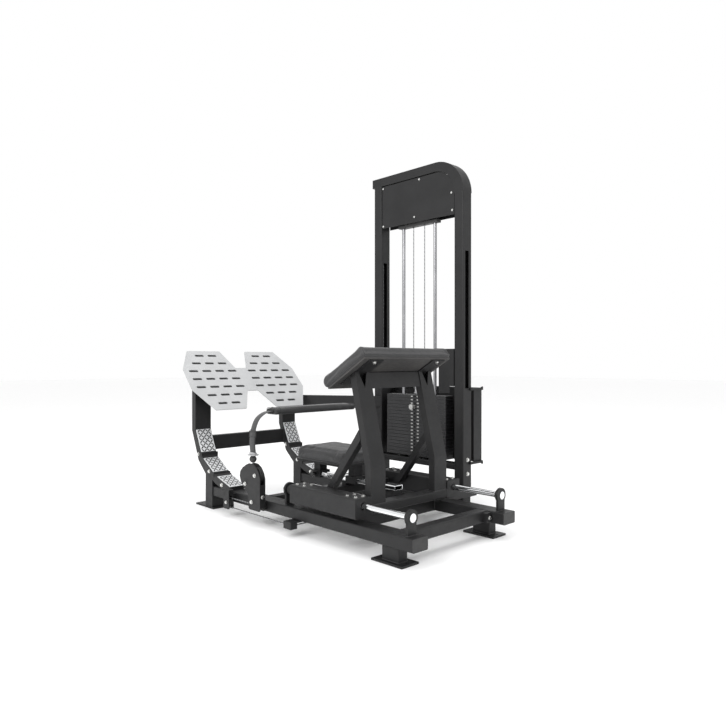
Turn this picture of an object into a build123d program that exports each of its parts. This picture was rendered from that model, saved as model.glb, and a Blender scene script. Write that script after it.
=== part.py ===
"""Plate-stack leg press and hip thrust machine: a sliding carriage with back pad and seat,
an angled foot plate, a hip belt and a weight tower.

Millimetres, +Z up. X runs along the rails (+X is the open end), +Y points to the weight tower.
The origin is on the floor below the centre of the machine.
"""
from build123d import *
import math
import os

os.makedirs("parts", exist_ok=True)

# ---- driving dimensions -------------------------------------------------------------------
MID_Y = -228.0              # the carriage, seat and foot plate are mirrored about this plane
RAIL_HALF_GAP = 341.0       # mid plane to each rail's centre
RAIL_W, RAIL_LOW, RAIL_TOP = 100.0, 78.0, 138.0
RAIL_END = 1019.0
WALL = 3.0                  # frame tube wall
CORNER = 7.0                # frame tube corner radius
FLOOR_PAD = 3.0             # rubber under each foot
PLATE_T = 7.0               # steel foot plate

LEG_X = (-689.0, -610.0)    # foot frame leg
FRAME_HALF_W = 55.0         # foot frame tube, half width

ROD_R, ROD_Z = 15.0, 216.0
ROD_LEFT, ROD_RIGHT = 88.0, 975.0
RING_R, RING_T = 37.0, 14.0
ROD_HEAD_R, ROD_HEAD_T = 20.0, 5.0

BOX_X = (164.0, 666.0)      # carriage bearing boxes
BOX_Z = (158.0, 256.0)
BOX_W = 106.0

POST_OFFSET = 236.0         # mid plane to each post's centre
POST_W, POST_D = 100.0, 40.0
POST_FRONT = 661.0
POST_KNEE_Z = 392.0
POST_LEAN = (-102.0, 421.0)

PAD_TOP = (630.0, 987.0)    # upper edge of the back pad's face, in XZ
PAD_ANGLE = 30.0            # degrees down towards the feet
PAD_LEN, PAD_T, PAD_HALF_W = 348.0, 66.0, 332.0
BOARD_T, FLANGE_T = 10.0, 6.0

SEAT_X = (-107.0, 312.0)
SEAT_HALF_W = 158.0
SEAT_Z = (342.0, 414.0)
SEAT_RAIL_X = (-100.0, 575.0)
SEAT_RAIL_W, SEAT_RAIL_Z = 60.0, (232.0, 257.0)
SEAT_HOLE_PITCH = 25.0

UPRIGHT_W, UPRIGHT_D = 70.0, 86.0
TOWER_X = (-335.0, 438.0)
TOWER_Y = (498.0, 584.0)
TOWER_TOP = 2170.0
ARCH_R, ARCH_T = 222.0, 58.0
HEADER_Z = (1818.0, 2106.0)

STACK_X, STACK_Y = 43.0, 541.0
STACK_W = 512.0
PLATE_COUNT, LIFTED_COUNT = 18, 4
PLATE_PITCH, STACK_GAP = 22.4, 1.0
STACK_LOW = 279.0
GUIDE_OFFSET, GUIDE_R = 137.0, 11.0
STEM_R = 11.0
PIN_R, KNOB_R = 4.5, 17.0

CABLE_R = 3.0
FLOAT_R = 48.0              # cable centre line round the floating and the top pulley
TURN_R = 37.0               # and round the pulley in the left upright
FLOAT_Z, TOP_PULLEY_Z = 757.0, 1965.0
STATIC_CABLE_Z = 1900.0     # above this the stack cable only runs over fixed pulleys

BELT_X, BELT_Z = -129.0, 620.0
HOUSING_Y = 424.0           # mid plane to each belt pulley
BELT_PULLEY_R = 42.0
BELT_AXLE = (BELT_X + BELT_PULLEY_R, 276.0)
LOW_AXLE = (-380.0, 84.0)
LOW_PULLEY_R = 27.0
WASHER_T = 1.6

RAIL_Y = [MID_Y - RAIL_HALF_GAP, MID_Y + RAIL_HALF_GAP]
SIDES = (-1, 1)


# ---- shared shapes ------------------------------------------------------------------------
def block(low, high, mode=Mode.ADD):
    """A box between two corners, in the part being built."""
    size = [h - l for l, h in zip(low, high)]
    centre = [(h + l) / 2 for l, h in zip(low, high)]
    with Locations(tuple(centre)):
        Box(*size, mode=mode)


def rod(centre, direction, radius, length, mode=Mode.ADD):
    """A round bar from centre along direction."""
    with BuildSketch(Plane(origin=centre, z_dir=direction)) as section:
        Circle(radius)
    extrude(section.sketch, amount=length, mode=mode)


def tube_section(width, height, wall=WALL, corner=CORNER):
    """The section of a rectangular tube, in the sketch being built."""
    RectangleRounded(width, height, corner)
    RectangleRounded(width - 2 * wall, height - 2 * wall, corner - wall, mode=Mode.SUBTRACT)


def tube_x(x_low, x_high, y, z, width, height):
    """A rectangular tube along X."""
    with BuildSketch(Plane(origin=(x_low, y, z), x_dir=(0, 1, 0), z_dir=(1, 0, 0))) as section:
        tube_section(width, height)
    extrude(section.sketch, amount=x_high - x_low)


def tube_y(y_low, y_high, x, z, width, height):
    """A rectangular tube along Y."""
    with BuildSketch(Plane(origin=(x, y_high, z), x_dir=(1, 0, 0), z_dir=(0, -1, 0))) as section:
        tube_section(width, height)
    extrude(section.sketch, amount=y_high - y_low)


def tube_z(z_low, z_high, x, y, width, depth):
    """A rectangular tube along Z."""
    with BuildSketch(Plane(origin=(x, y, z_low))) as section:
        tube_section(width, depth)
    extrude(section.sketch, amount=z_high - z_low)


def side_plane(y_high):
    """A sketch plane facing -Y, with X to the right and Z up."""
    return Plane(origin=(0, y_high, 0), x_dir=(1, 0, 0), z_dir=(0, -1, 0))


def side_plate(points, y_low, y_high, radius=0.0, mode=Mode.ADD):
    """A flat plate of the given XZ outline between two Y values."""
    with BuildSketch(side_plane(y_high)) as outline:
        Polygon(*points, align=None)
        if radius:
            fillet(outline.vertices(), radius)
    extrude(outline.sketch, amount=y_high - y_low, mode=mode)


def bent_tube(points, y_low, y_high, ends):
    """A tube folded in the XZ plane, hollow, with its end faces open at the given boxes."""
    side_plate(points, y_low, y_high)
    with BuildSketch(side_plane(y_high - WALL)) as inside:
        Polygon(*points, align=None)
        offset(amount=-WALL, kind=Kind.INTERSECTION, mode=Mode.REPLACE)
    extrude(inside.sketch, amount=y_high - y_low - 2 * WALL, mode=Mode.SUBTRACT)
    for low_x, high_x, low_z, high_z in ends:
        block((low_x, y_low + WALL, low_z), (high_x, y_high - WALL, high_z), Mode.SUBTRACT)


def pulley(centre, groove_r, flange_r, bore_r, width=18.0):
    """A grooved wheel whose axle runs along Y. The cable's centre line is at groove_r."""
    half, lip = width / 2, 2.0
    bottom = groove_r - CABLE_R - 0.4
    profile = [(bore_r, -half), (flange_r, -half), (flange_r, lip - half),
               (bottom, -CABLE_R - 0.6), (bottom, CABLE_R + 0.6),
               (flange_r, half - lip), (flange_r, half), (bore_r, half)]
    with BuildSketch(Plane(origin=centre)) as section:
        Polygon(*profile, align=None)
    revolve(section.sketch, axis=Axis(centre, (0, 1, 0)))


def bolt(centre, direction, head_r=8.0, head_t=6.0):
    """A hexagon head on its washer, standing on a surface."""
    with BuildSketch(Plane(origin=centre, z_dir=direction)) as washer:
        Circle(head_r * 1.25)
    extrude(washer.sketch, amount=WASHER_T)
    with BuildSketch(Plane(origin=centre, z_dir=direction).offset(WASHER_T)) as head:
        RegularPolygon(head_r, 6)
    extrude(head.sketch, amount=head_t - WASHER_T)


def on_pad(s, t):
    """XZ of a point s down the pad's slope and t above its face."""
    angle = math.radians(PAD_ANGLE)
    return (PAD_TOP[0] - s * math.cos(angle) - t * math.sin(angle),
            PAD_TOP[1] - s * math.sin(angle) + t * math.cos(angle))


def post_top(front_x):
    """Where the leaning face that starts at front_x on the knee meets the pad's flange."""
    slope = math.tan(math.radians(PAD_ANGLE))
    x0, z0 = on_pad(0, -PAD_T - BOARD_T - FLANGE_T)
    rise = POST_LEAN[1] / POST_LEAN[0]
    x = (z0 - POST_KNEE_Z + rise * front_x - slope * x0) / (rise - slope)
    return (x, z0 + slope * (x - x0))


# ---- base frame ---------------------------------------------------------------------------
near_y, far_y = RAIL_Y
rail_z = (RAIL_LOW + RAIL_TOP) / 2

with BuildPart() as near_rail:
    tube_x(LEG_X[1], RAIL_END, near_y, rail_z, RAIL_W, RAIL_TOP - RAIL_LOW)
near_rail.part.label = "near_rail"
export_step(near_rail.part, "parts/near_rail.step")

with BuildPart() as far_rail:
    tube_x(LEG_X[1], RAIL_END, far_y, rail_z, RAIL_W, RAIL_TOP - RAIL_LOW)
far_rail.part.label = "far_rail"
export_step(far_rail.part, "parts/far_rail.step")

BEAM_ENDS = (near_y + RAIL_W / 2, far_y - RAIL_W / 2)
CROSS_BEAMS = [(890.0, 64.0), (525.0, 100.0), (-137.0, 60.0)]
STOP_BLOCK = (922.0, 948.0)  # a buffer block in front of the first cross beam, at the far rail
with BuildPart() as cross_beams:
    for beam_x, beam_w in CROSS_BEAMS:
        tube_y(*BEAM_ENDS, beam_x, rail_z, beam_w, RAIL_TOP - RAIL_LOW)
    block((STOP_BLOCK[0], BEAM_ENDS[1] - 40, RAIL_LOW + 6), (STOP_BLOCK[1], BEAM_ENDS[1], RAIL_TOP - 6))
cross_beams.part.label = "cross_beams"
export_step(cross_beams.part, "parts/cross_beams.step")

TOWER_BEAM_W = 120.0
TOWER_BEAM_X = (TOWER_X[0] + 7, TOWER_X[1] - 7)
TOWER_TOE_Y = (498.0, 566.0)
TOWER_TOE_L, TOE_LOW_H, TOE_HIGH_H = 53.0, 8.0, 40.0
with BuildPart() as tower_base:
    for beam_x in TOWER_BEAM_X:
        tube_y(far_y + RAIL_W / 2, TOWER_Y[0], beam_x, rail_z, TOWER_BEAM_W, RAIL_TOP - RAIL_LOW)
    tube_x(TOWER_X[0] + UPRIGHT_W, TOWER_X[1] - UPRIGHT_W, 533.0, rail_z, 60.0, RAIL_TOP - RAIL_LOW)
    for foot_x, outward in zip(TOWER_X, SIDES):
        toe_x = foot_x + outward * TOWER_TOE_L
        side_plate([(foot_x, RAIL_LOW), (toe_x, RAIL_LOW), (toe_x, RAIL_LOW + TOE_LOW_H),
                    (foot_x, RAIL_LOW + TOE_HIGH_H)], *TOWER_TOE_Y)
tower_base.part.label = "tower_base"
export_step(tower_base.part, "parts/tower_base.step")

# plate corners, post length and width, and each anchor hole's place from the plate's centre
END_HOLES = ((-79.0, 0.0), (79.0, 0.0))
TOWER_HOLES = ((-49.0, 0.0), (49.0, 0.0))
SIDE_HOLES = ((-66.0, -36.0), (-66.0, 36.0))
RAIL_FEET = [(868.5, y, 190.0, 112.0, 106.0, 60.0, END_HOLES) for y in RAIL_Y]
TOWER_FEET = [(x, 541.0, 130.0, 150.0, 64.0, 80.0, TOWER_HOLES)
              for x in (TOWER_X[0] + UPRIGHT_W / 2, TOWER_X[1] - UPRIGHT_W / 2)]
LEG_FEET = [(-697.0, y, 206.0, 116.0, 0.0, 0.0, SIDE_HOLES) for y in RAIL_Y]
FEET = RAIL_FEET + TOWER_FEET + LEG_FEET
PLATE_TOP = FLOOR_PAD + PLATE_T
ANCHOR_R = 6.0


def foot_sheets(z_low, z_high):
    """The six foot plates, or the rubber under them, with their anchor holes."""
    for x, y, length, width, _, _, holes in FEET:
        block((x - length / 2, y - width / 2, z_low), (x + length / 2, y + width / 2, z_high))
        for hole_x, hole_y in holes:
            rod((x + hole_x, y + hole_y, z_low), (0, 0, 1), ANCHOR_R, z_high - z_low, Mode.SUBTRACT)


with BuildPart() as feet:
    foot_sheets(FLOOR_PAD, PLATE_TOP)
    for x, y, _, _, post_l, post_w, _ in RAIL_FEET + TOWER_FEET:
        tube_z(PLATE_TOP, RAIL_LOW, x, y, post_l, post_w)
feet.part.label = "feet"
export_step(feet.part, "parts/feet.step")

with BuildPart() as foot_pads:
    foot_sheets(0, FLOOR_PAD)
foot_pads.part.label = "foot_pads"
export_step(foot_pads.part, "parts/foot_pads.step")

CAP_T = 3.0
ARCH_LEFT = TOWER_X[0] - 14
with BuildPart() as end_caps:
    for y in RAIL_Y:
        with BuildSketch(Plane(origin=(RAIL_END, y, rail_z), x_dir=(0, 1, 0), z_dir=(1, 0, 0))):
            RectangleRounded(RAIL_W, RAIL_TOP - RAIL_LOW, CORNER)
        extrude(amount=CAP_T)
    block((ARCH_LEFT - CAP_T, TOWER_Y[0], TOWER_TOP - ARCH_T), (ARCH_LEFT, TOWER_Y[1], TOWER_TOP))
end_caps.part.label = "end_caps"
export_step(end_caps.part, "parts/end_caps.step")

# ---- foot frames and foot plate -----------------------------------------------------------
FACETS = [((-814.0, 470.0), (-746.0, 329.0)), ((-724.0, 297.0), (-602.0, 223.0)),
          ((-561.0, 203.0), (-413.0, 158.0))]
PLATE_O = (-1018.4, MID_Y, 970.0)
SLOPE = math.radians(45.4)
PLATE_N = (math.sin(SLOPE), 0.0, math.cos(SLOPE))


def behind_plate(x, depth):
    """Z at x on the plane that lies depth behind the foot plate's face."""
    return PLATE_O[2] - depth / PLATE_N[2] - (x - PLATE_O[0]) * math.tan(SLOPE)


FOOT_T, BACKING_T = 5.0, 4.0
frame_depth = FOOT_T + BACKING_T
FRAME_OUTLINE = [(-814, behind_plate(-814, frame_depth)), *FACETS[0], *FACETS[1], *FACETS[2],
                 (-413, RAIL_TOP), (-505, RAIL_TOP), (-574, 160), (LEG_X[1], 178),
                 (LEG_X[1], PLATE_TOP), (LEG_X[0], PLATE_TOP), (LEG_X[0], 205), (-776, 280),
                 (-857, 463), (-857, behind_plate(-857, frame_depth))]
LEDGE = (14.0, 24.0, 58.0)


def foot_frame(y):
    """One curved foot frame: bent tube with a ledge under each tread."""
    bent_tube(FRAME_OUTLINE, y - FRAME_HALF_W, y + FRAME_HALF_W,
              [(LEG_X[0] + WALL, LEG_X[1] - WALL, PLATE_TOP - 5, PLATE_TOP + 10),
               (-857 + WALL, -814 - WALL, 740, 830)])
    for (_, (x, z)) in FACETS[:2]:
        block((x - 2, y - LEDGE[2], z - LEDGE[1]), (x + LEDGE[0], y + LEDGE[2], z - 2))


with BuildPart() as near_foot_frame:
    foot_frame(near_y)
near_foot_frame.part.label = "near_foot_frame"
export_step(near_foot_frame.part, "parts/near_foot_frame.step")

with BuildPart() as far_foot_frame:
    foot_frame(far_y)
far_foot_frame.part.label = "far_foot_frame"
export_step(far_foot_frame.part, "parts/far_foot_frame.step")

TREAD_T, TREAD_HALF_W = 4.0, 52.0
with BuildPart() as tread_plates:
    for y in RAIL_Y:
        for (x0, z0), (x1, z1) in FACETS:
            length = math.hypot(x1 - x0, z1 - z0)
            along = ((x1 - x0) / length, 0, (z1 - z0) / length)
            normal = (-along[2], 0, along[0])
            middle = ((x0 + x1) / 2, y, (z0 + z1) / 2)
            with BuildSketch(Plane(origin=middle, x_dir=along, z_dir=normal)):
                RectangleRounded(length - 6, 2 * TREAD_HALF_W, 3)
            extrude(amount=TREAD_T)
tread_plates.part.label = "tread_plates"
export_step(tread_plates.part, "parts/tread_plates.step")

FOOT_BEAM_Y = (near_y + FRAME_HALF_W, far_y - FRAME_HALF_W)
with BuildPart() as foot_cross_beams:
    tube_y(*FOOT_BEAM_Y, -820.0, 378.0, 46.0, 92.0)
    tube_y(*FOOT_BEAM_Y, -836.0, 723.0, 43.0, 34.0)
foot_cross_beams.part.label = "foot_cross_beams"
export_step(foot_cross_beams.part, "parts/foot_cross_beams.step")

FOOT_HALF = [(43, 160), (102, 0), (346, 0), (436, 168), (440, 345), (343, 521), (118, 521), (41, 368)]
FOOT_OUTLINE = [(u, -v) for u, v in FOOT_HALF] + [(-u, -v) for u, v in reversed(FOOT_HALF)]
SLOT_ROWS = [2, 3, 4, 4, 4, 3, 2]
SLOT_FIRST, SLOT_ROW_PITCH, SLOT_PITCH, SLOT_CENTRE = 44.0, 70.5, 96.0, 223.0
SLOT_L, SLOT_W = 67.0, 18.0
foot_plane = Plane(origin=PLATE_O, x_dir=(0, 1, 0), z_dir=PLATE_N)


def slot_places():
    """Centre of each slot on the foot plate."""
    return [(side * (SLOT_CENTRE + SLOT_PITCH * (i - (count - 1) / 2)),
             -(SLOT_FIRST + row * SLOT_ROW_PITCH))
            for row, count in enumerate(SLOT_ROWS) for i in range(count) for side in SIDES]


with BuildPart() as foot_plate:
    with BuildSketch(foot_plane.offset(-FOOT_T)) as plate_outline:
        Polygon(*FOOT_OUTLINE, align=None)
        fillet(plate_outline.vertices(), 8)
        with Locations(*slot_places()):
            SlotOverall(SLOT_L, SLOT_W, mode=Mode.SUBTRACT)
    extrude(amount=FOOT_T)
foot_plate.part.label = "foot_plate"
export_step(foot_plate.part, "parts/foot_plate.step")

with BuildPart() as foot_plate_backing:
    with BuildSketch(foot_plane.offset(-FOOT_T - BACKING_T)) as backing_outline:
        Polygon(*FOOT_OUTLINE, align=None)
        offset(amount=-6, kind=Kind.INTERSECTION, mode=Mode.REPLACE)
        fillet(backing_outline.vertices(), 6)
    extrude(amount=BACKING_T)
foot_plate_backing.part.label = "foot_plate_backing"
export_step(foot_plate_backing.part, "parts/foot_plate_backing.step")

DIAGONAL = [(-852, far_y + FRAME_HALF_W), (-806, far_y + FRAME_HALF_W),
            (TOWER_X[0] + 66, TOWER_Y[0]), (TOWER_X[0] + 6, TOWER_Y[0])]
DIAGONAL_Z = (588.0, 660.0)
with BuildPart() as diagonal_brace:
    with BuildSketch(Plane.XY.offset(DIAGONAL_Z[0])):
        Polygon(*DIAGONAL, align=None)
    extrude(amount=DIAGONAL_Z[1] - DIAGONAL_Z[0])
    run_x = DIAGONAL[3][0] - DIAGONAL[0][0]
    run_y = DIAGONAL[3][1] - DIAGONAL[0][1]
    inner = [(DIAGONAL[0][0] + 5 - run_x * 0.05, DIAGONAL[0][1] - run_y * 0.05),
             (DIAGONAL[1][0] - 5 - run_x * 0.05, DIAGONAL[1][1] - run_y * 0.05),
             (DIAGONAL[2][0] - 5 + run_x * 0.05, DIAGONAL[2][1] + run_y * 0.05),
             (DIAGONAL[3][0] + 5 + run_x * 0.05, DIAGONAL[3][1] + run_y * 0.05)]
    with BuildSketch(Plane.XY.offset(DIAGONAL_Z[0] + WALL)):
        Polygon(*inner, align=None)
    extrude(amount=DIAGONAL_Z[1] - DIAGONAL_Z[0] - 2 * WALL, mode=Mode.SUBTRACT)
diagonal_brace.part.label = "diagonal_brace"
export_step(diagonal_brace.part, "parts/diagonal_brace.step")

# ---- guide rods ---------------------------------------------------------------------------
with BuildPart() as guide_rods:
    for y in RAIL_Y:
        rod((ROD_LEFT, y, ROD_Z), (1, 0, 0), ROD_R, ROD_RIGHT - ROD_LEFT)
        rod((ROD_RIGHT, y, ROD_Z), (1, 0, 0), ROD_HEAD_R, ROD_HEAD_T)
        rod((ROD_LEFT, y, ROD_Z), (-1, 0, 0), ROD_HEAD_R, ROD_HEAD_T)
guide_rods.part.label = "guide_rods"
export_step(guide_rods.part, "parts/guide_rods.step")

RING_X = (ROD_LEFT, ROD_RIGHT - RING_T)
NECK_W = 56.0
with BuildPart() as rod_brackets:
    for y in RAIL_Y:
        for x in RING_X:
            rod((x, y, ROD_Z), (1, 0, 0), RING_R, RING_T)
            block((x, y - NECK_W / 2, RAIL_TOP), (x + RING_T, y + NECK_W / 2, ROD_Z - 12))
            rod((x, y, ROD_Z), (1, 0, 0), ROD_R, RING_T, Mode.SUBTRACT)
rod_brackets.part.label = "rod_brackets"
export_step(rod_brackets.part, "parts/rod_brackets.step")

# rubber rings on the guide rods at both ends of the travel, and under the weight stack
STOP_GAP = 0.5
BUMPER_R, BUMPER_T = 25.0, 12.0
STACK_BEAM_Z = (226.0, 264.0)
with BuildPart() as rubber_bumpers:
    for y in RAIL_Y:
        for low, high in ((ROD_LEFT + RING_T, BOX_X[0] - STOP_GAP),
                          (ROD_RIGHT - RING_T - BUMPER_T, ROD_RIGHT - RING_T)):
            with BuildSketch(Plane(origin=(low, y, ROD_Z), z_dir=(1, 0, 0))):
                Circle(BUMPER_R)
                Circle(ROD_R, mode=Mode.SUBTRACT)
            extrude(amount=high - low)
    for side in SIDES:
        with BuildSketch(Plane(origin=(STACK_X + side * GUIDE_OFFSET, STACK_Y, STACK_BEAM_Z[1]))):
            Circle(BUMPER_R)
            Circle(GUIDE_R, mode=Mode.SUBTRACT)
        extrude(amount=STACK_LOW - STACK_BEAM_Z[1])
rubber_bumpers.part.label = "rubber_bumpers"
export_step(rubber_bumpers.part, "parts/rubber_bumpers.step")

# ---- weight tower -------------------------------------------------------------------------
left_x, right_x = TOWER_X[0] + UPRIGHT_W / 2, TOWER_X[1] - UPRIGHT_W / 2
tower_y = (TOWER_Y[0] + TOWER_Y[1]) / 2
ARCH_CENTRE = (TOWER_X[1] - ARCH_R, TOWER_TOP - ARCH_R)
SLOT_Z, SLOT_Y = (735.0, 1585.0), (519.0, 554.0)
with BuildPart() as left_upright:
    tube_z(RAIL_LOW, TOWER_TOP - ARCH_T, left_x, tower_y, UPRIGHT_W, UPRIGHT_D)
    inner_face = TOWER_X[0] + UPRIGHT_W
    block((inner_face - 5, SLOT_Y[0], SLOT_Z[0]), (inner_face + 1, SLOT_Y[1], SLOT_Z[1]), Mode.SUBTRACT)
    block((inner_face - 5, 528, 1926), (inner_face + 1, 554, 2026), Mode.SUBTRACT)
left_upright.part.label = "left_upright"
export_step(left_upright.part, "parts/left_upright.step")

with BuildPart() as right_upright:
    tube_z(RAIL_LOW, ARCH_CENTRE[1], right_x, tower_y, UPRIGHT_W, UPRIGHT_D)
    block((TOWER_X[1] - 5, SLOT_Y[0], SLOT_Z[0]), (TOWER_X[1] + 1, SLOT_Y[1], SLOT_Z[1]), Mode.SUBTRACT)
right_upright.part.label = "right_upright"
export_step(right_upright.part, "parts/right_upright.step")


def arch_outline():
    """The top beam and its round corner, as a line loop in XZ."""
    low, inner_r = TOWER_TOP - ARCH_T, 158.0
    inner_x = TOWER_X[1] - UPRIGHT_W
    inner = (inner_x - inner_r, low - inner_r)
    Line((ARCH_LEFT, low), (ARCH_LEFT, TOWER_TOP))
    Line((ARCH_LEFT, TOWER_TOP), (ARCH_CENTRE[0], TOWER_TOP))
    CenterArc(ARCH_CENTRE, ARCH_R, 90, -90)
    Line((TOWER_X[1], ARCH_CENTRE[1]), (inner_x, ARCH_CENTRE[1]))
    Line((inner_x, ARCH_CENTRE[1]), (inner_x, inner[1]))
    CenterArc(inner, inner_r, 0, 90)
    Line((inner[0], low), (ARCH_LEFT, low))


with BuildPart() as top_arch:
    with BuildSketch(side_plane(TOWER_Y[1])):
        with BuildLine():
            arch_outline()
        make_face()
    extrude(amount=UPRIGHT_D)
    with BuildSketch(side_plane(TOWER_Y[1] - WALL)):
        with BuildLine():
            arch_outline()
        make_face()
        offset(amount=-WALL, kind=Kind.INTERSECTION, mode=Mode.REPLACE)
    extrude(amount=UPRIGHT_D - 2 * WALL, mode=Mode.SUBTRACT)
    block((ARCH_LEFT - 1, TOWER_Y[0] + WALL, TOWER_TOP - ARCH_T + WALL),
          (ARCH_LEFT + 10, TOWER_Y[1] - WALL, TOWER_TOP - WALL), Mode.SUBTRACT)
    block((TOWER_X[1] - UPRIGHT_W + WALL, TOWER_Y[0] + WALL, ARCH_CENTRE[1] - 1),
          (TOWER_X[1] - WALL, TOWER_Y[1] - WALL, ARCH_CENTRE[1] + 10), Mode.SUBTRACT)
top_arch.part.label = "top_arch"
export_step(top_arch.part, "parts/top_arch.step")

COVER_T = 3.0
COVER_Y = (TOWER_Y[0] + 3, TOWER_Y[1] - 3 - COVER_T)
COVER_GAP = 6.0
with BuildPart() as header_covers:
    for y in COVER_Y:
        with BuildSketch(side_plane(y + COVER_T)) as cover_outline:
            low_x, high_x = TOWER_X[0] + UPRIGHT_W + COVER_GAP, TOWER_X[1] - UPRIGHT_W - 1
            Polygon((low_x, HEADER_Z[0]), (high_x, HEADER_Z[0]), (high_x, HEADER_Z[1]),
                    (low_x, HEADER_Z[1]), align=None)
            fillet(cover_outline.vertices().sort_by(Axis.X)[-2:].sort_by(Axis.Y)[-1:], 150)
        extrude(amount=COVER_T)
header_covers.part.label = "header_covers"
export_step(header_covers.part, "parts/header_covers.step")

HOLDER_X, HOLDER_Z = (STACK_X - 168, STACK_X + 168), (1798.0, HEADER_Z[0])
with BuildPart() as rod_holder:
    block((HOLDER_X[0], 520, HOLDER_Z[0]), (HOLDER_X[1], 562, HOLDER_Z[1]))
    block((HOLDER_X[0] + 60, COVER_Y[0] + COVER_T, HOLDER_Z[1]), (HOLDER_X[1] - 60, COVER_Y[1], 1830))
    for side in SIDES:
        rod((STACK_X + side * GUIDE_OFFSET, STACK_Y, HOLDER_Z[0]), (0, 0, 1), GUIDE_R, 40, Mode.SUBTRACT)
        rod((STACK_X + side * FLOAT_R, STACK_Y, HOLDER_Z[0] - 1), (0, 0, 1), 9, 60, Mode.SUBTRACT)
rod_holder.part.label = "rod_holder"
export_step(rod_holder.part, "parts/rod_holder.step")

with BuildPart() as stack_beam:
    tube_x(TOWER_X[0] + UPRIGHT_W, TOWER_X[1] - UPRIGHT_W, STACK_Y, sum(STACK_BEAM_Z) / 2, 80.0,
           STACK_BEAM_Z[1] - STACK_BEAM_Z[0])
    for side in SIDES:
        rod((STACK_X + side * GUIDE_OFFSET, STACK_Y, STACK_BEAM_Z[0]), (0, 0, 1), GUIDE_R, 60, Mode.SUBTRACT)
    rod((STACK_X, STACK_Y, STACK_BEAM_Z[0]), (0, 0, 1), STEM_R + 2, 60, Mode.SUBTRACT)
stack_beam.part.label = "stack_beam"
export_step(stack_beam.part, "parts/stack_beam.step")

with BuildPart() as stack_guide_rods:
    for side in SIDES:
        rod((STACK_X + side * GUIDE_OFFSET, STACK_Y, STACK_BEAM_Z[0]), (0, 0, 1), GUIDE_R,
            HOLDER_Z[1] - STACK_BEAM_Z[0])
stack_guide_rods.part.label = "stack_guide_rods"
export_step(stack_guide_rods.part, "parts/stack_guide_rods.step")

PLATE_H = PLATE_PITCH - STACK_GAP
PIN_HOLE_R = 5.5


def weight_plates(first, count):
    """Weight plates with their holes, counted from the bottom of the stack."""
    for index in range(first, first + count):
        z = STACK_LOW + index * PLATE_PITCH
        with BuildSketch(Plane.XY.offset(z)) as section:
            with Locations((STACK_X, STACK_Y)):
                RectangleRounded(STACK_W, UPRIGHT_D, 6)
                Circle(STEM_R + 2, mode=Mode.SUBTRACT)
            with Locations(*[(STACK_X + side * GUIDE_OFFSET, STACK_Y) for side in SIDES]):
                Circle(GUIDE_R + 1.2, mode=Mode.SUBTRACT)
        extrude(section.sketch, amount=PLATE_H)
        rod((STACK_X, TOWER_Y[0] - 1, z + PLATE_H / 2), (0, 1, 0), PIN_HOLE_R, UPRIGHT_D / 2, Mode.SUBTRACT)


with BuildPart() as fixed_weight_plates:
    weight_plates(0, PLATE_COUNT - LIFTED_COUNT)
fixed_weight_plates.part.label = "fixed_weight_plates"
export_step(fixed_weight_plates.part, "parts/fixed_weight_plates.step")

with BuildPart() as lifted_weight_plates:
    weight_plates(PLATE_COUNT - LIFTED_COUNT, LIFTED_COUNT)
lifted_weight_plates.part.label = "lifted_weight_plates"
export_step(lifted_weight_plates.part, "parts/lifted_weight_plates.step")

stack_top = STACK_LOW + PLATE_COUNT * PLATE_PITCH - STACK_GAP
pin_z = STACK_LOW + (PLATE_COUNT - LIFTED_COUNT) * PLATE_PITCH + PLATE_H / 2
with BuildPart() as selector_stem:
    rod((STACK_X, STACK_Y, STACK_LOW + 4), (0, 0, 1), STEM_R, stack_top - STACK_LOW - 4)
    rod((STACK_X, STACK_Y, stack_top), (0, 0, 1), STEM_R + 9, 8)
    for index in range(PLATE_COUNT):
        z = STACK_LOW + index * PLATE_PITCH + PLATE_H / 2
        rod((STACK_X, STACK_Y - 20, z), (0, 1, 0), PIN_HOLE_R, 40, Mode.SUBTRACT)
selector_stem.part.label = "selector_stem"
export_step(selector_stem.part, "parts/selector_stem.step")

YOKE_T, YOKE_IN = 5.0, 12.0
with BuildPart() as pulley_yoke:
    block((STACK_X - 30, STACK_Y - YOKE_IN - YOKE_T, stack_top + 8),
          (STACK_X + 30, STACK_Y + YOKE_IN + YOKE_T, stack_top + 14))
    for side in SIDES:
        low = STACK_Y + side * (YOKE_IN + YOKE_T / 2) - YOKE_T / 2
        block((STACK_X - 22, low, stack_top + 14), (STACK_X + 22, low + YOKE_T, FLOAT_Z + 20))
    rod((STACK_X, STACK_Y - YOKE_IN - YOKE_T, FLOAT_Z), (0, 1, 0), 6.0, 2 * (YOKE_IN + YOKE_T))
pulley_yoke.part.label = "pulley_yoke"
export_step(pulley_yoke.part, "parts/pulley_yoke.step")

AXLE_R, AXLE_FIT = 6.0, 0.06
with BuildPart() as floating_pulley:
    pulley((STACK_X, STACK_Y, FLOAT_Z), FLOAT_R, FLOAT_R + 4, AXLE_R + AXLE_FIT)
floating_pulley.part.label = "floating_pulley"
export_step(floating_pulley.part, "parts/floating_pulley.step")

top_x = STACK_X - 2 * FLOAT_R
with BuildPart() as top_pulley:
    pulley((top_x, STACK_Y, TOP_PULLEY_Z), FLOAT_R, FLOAT_R + 4, AXLE_R + AXLE_FIT)
top_pulley.part.label = "top_pulley"
export_step(top_pulley.part, "parts/top_pulley.step")

turn_x, turn_z = TOWER_X[0] + 84, TOP_PULLEY_Z + FLOAT_R - TURN_R
with BuildPart() as turn_pulley:
    pulley((turn_x, STACK_Y, turn_z), TURN_R, TURN_R + 4, AXLE_R + AXLE_FIT)
turn_pulley.part.label = "turn_pulley"
export_step(turn_pulley.part, "parts/turn_pulley.step")

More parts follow.
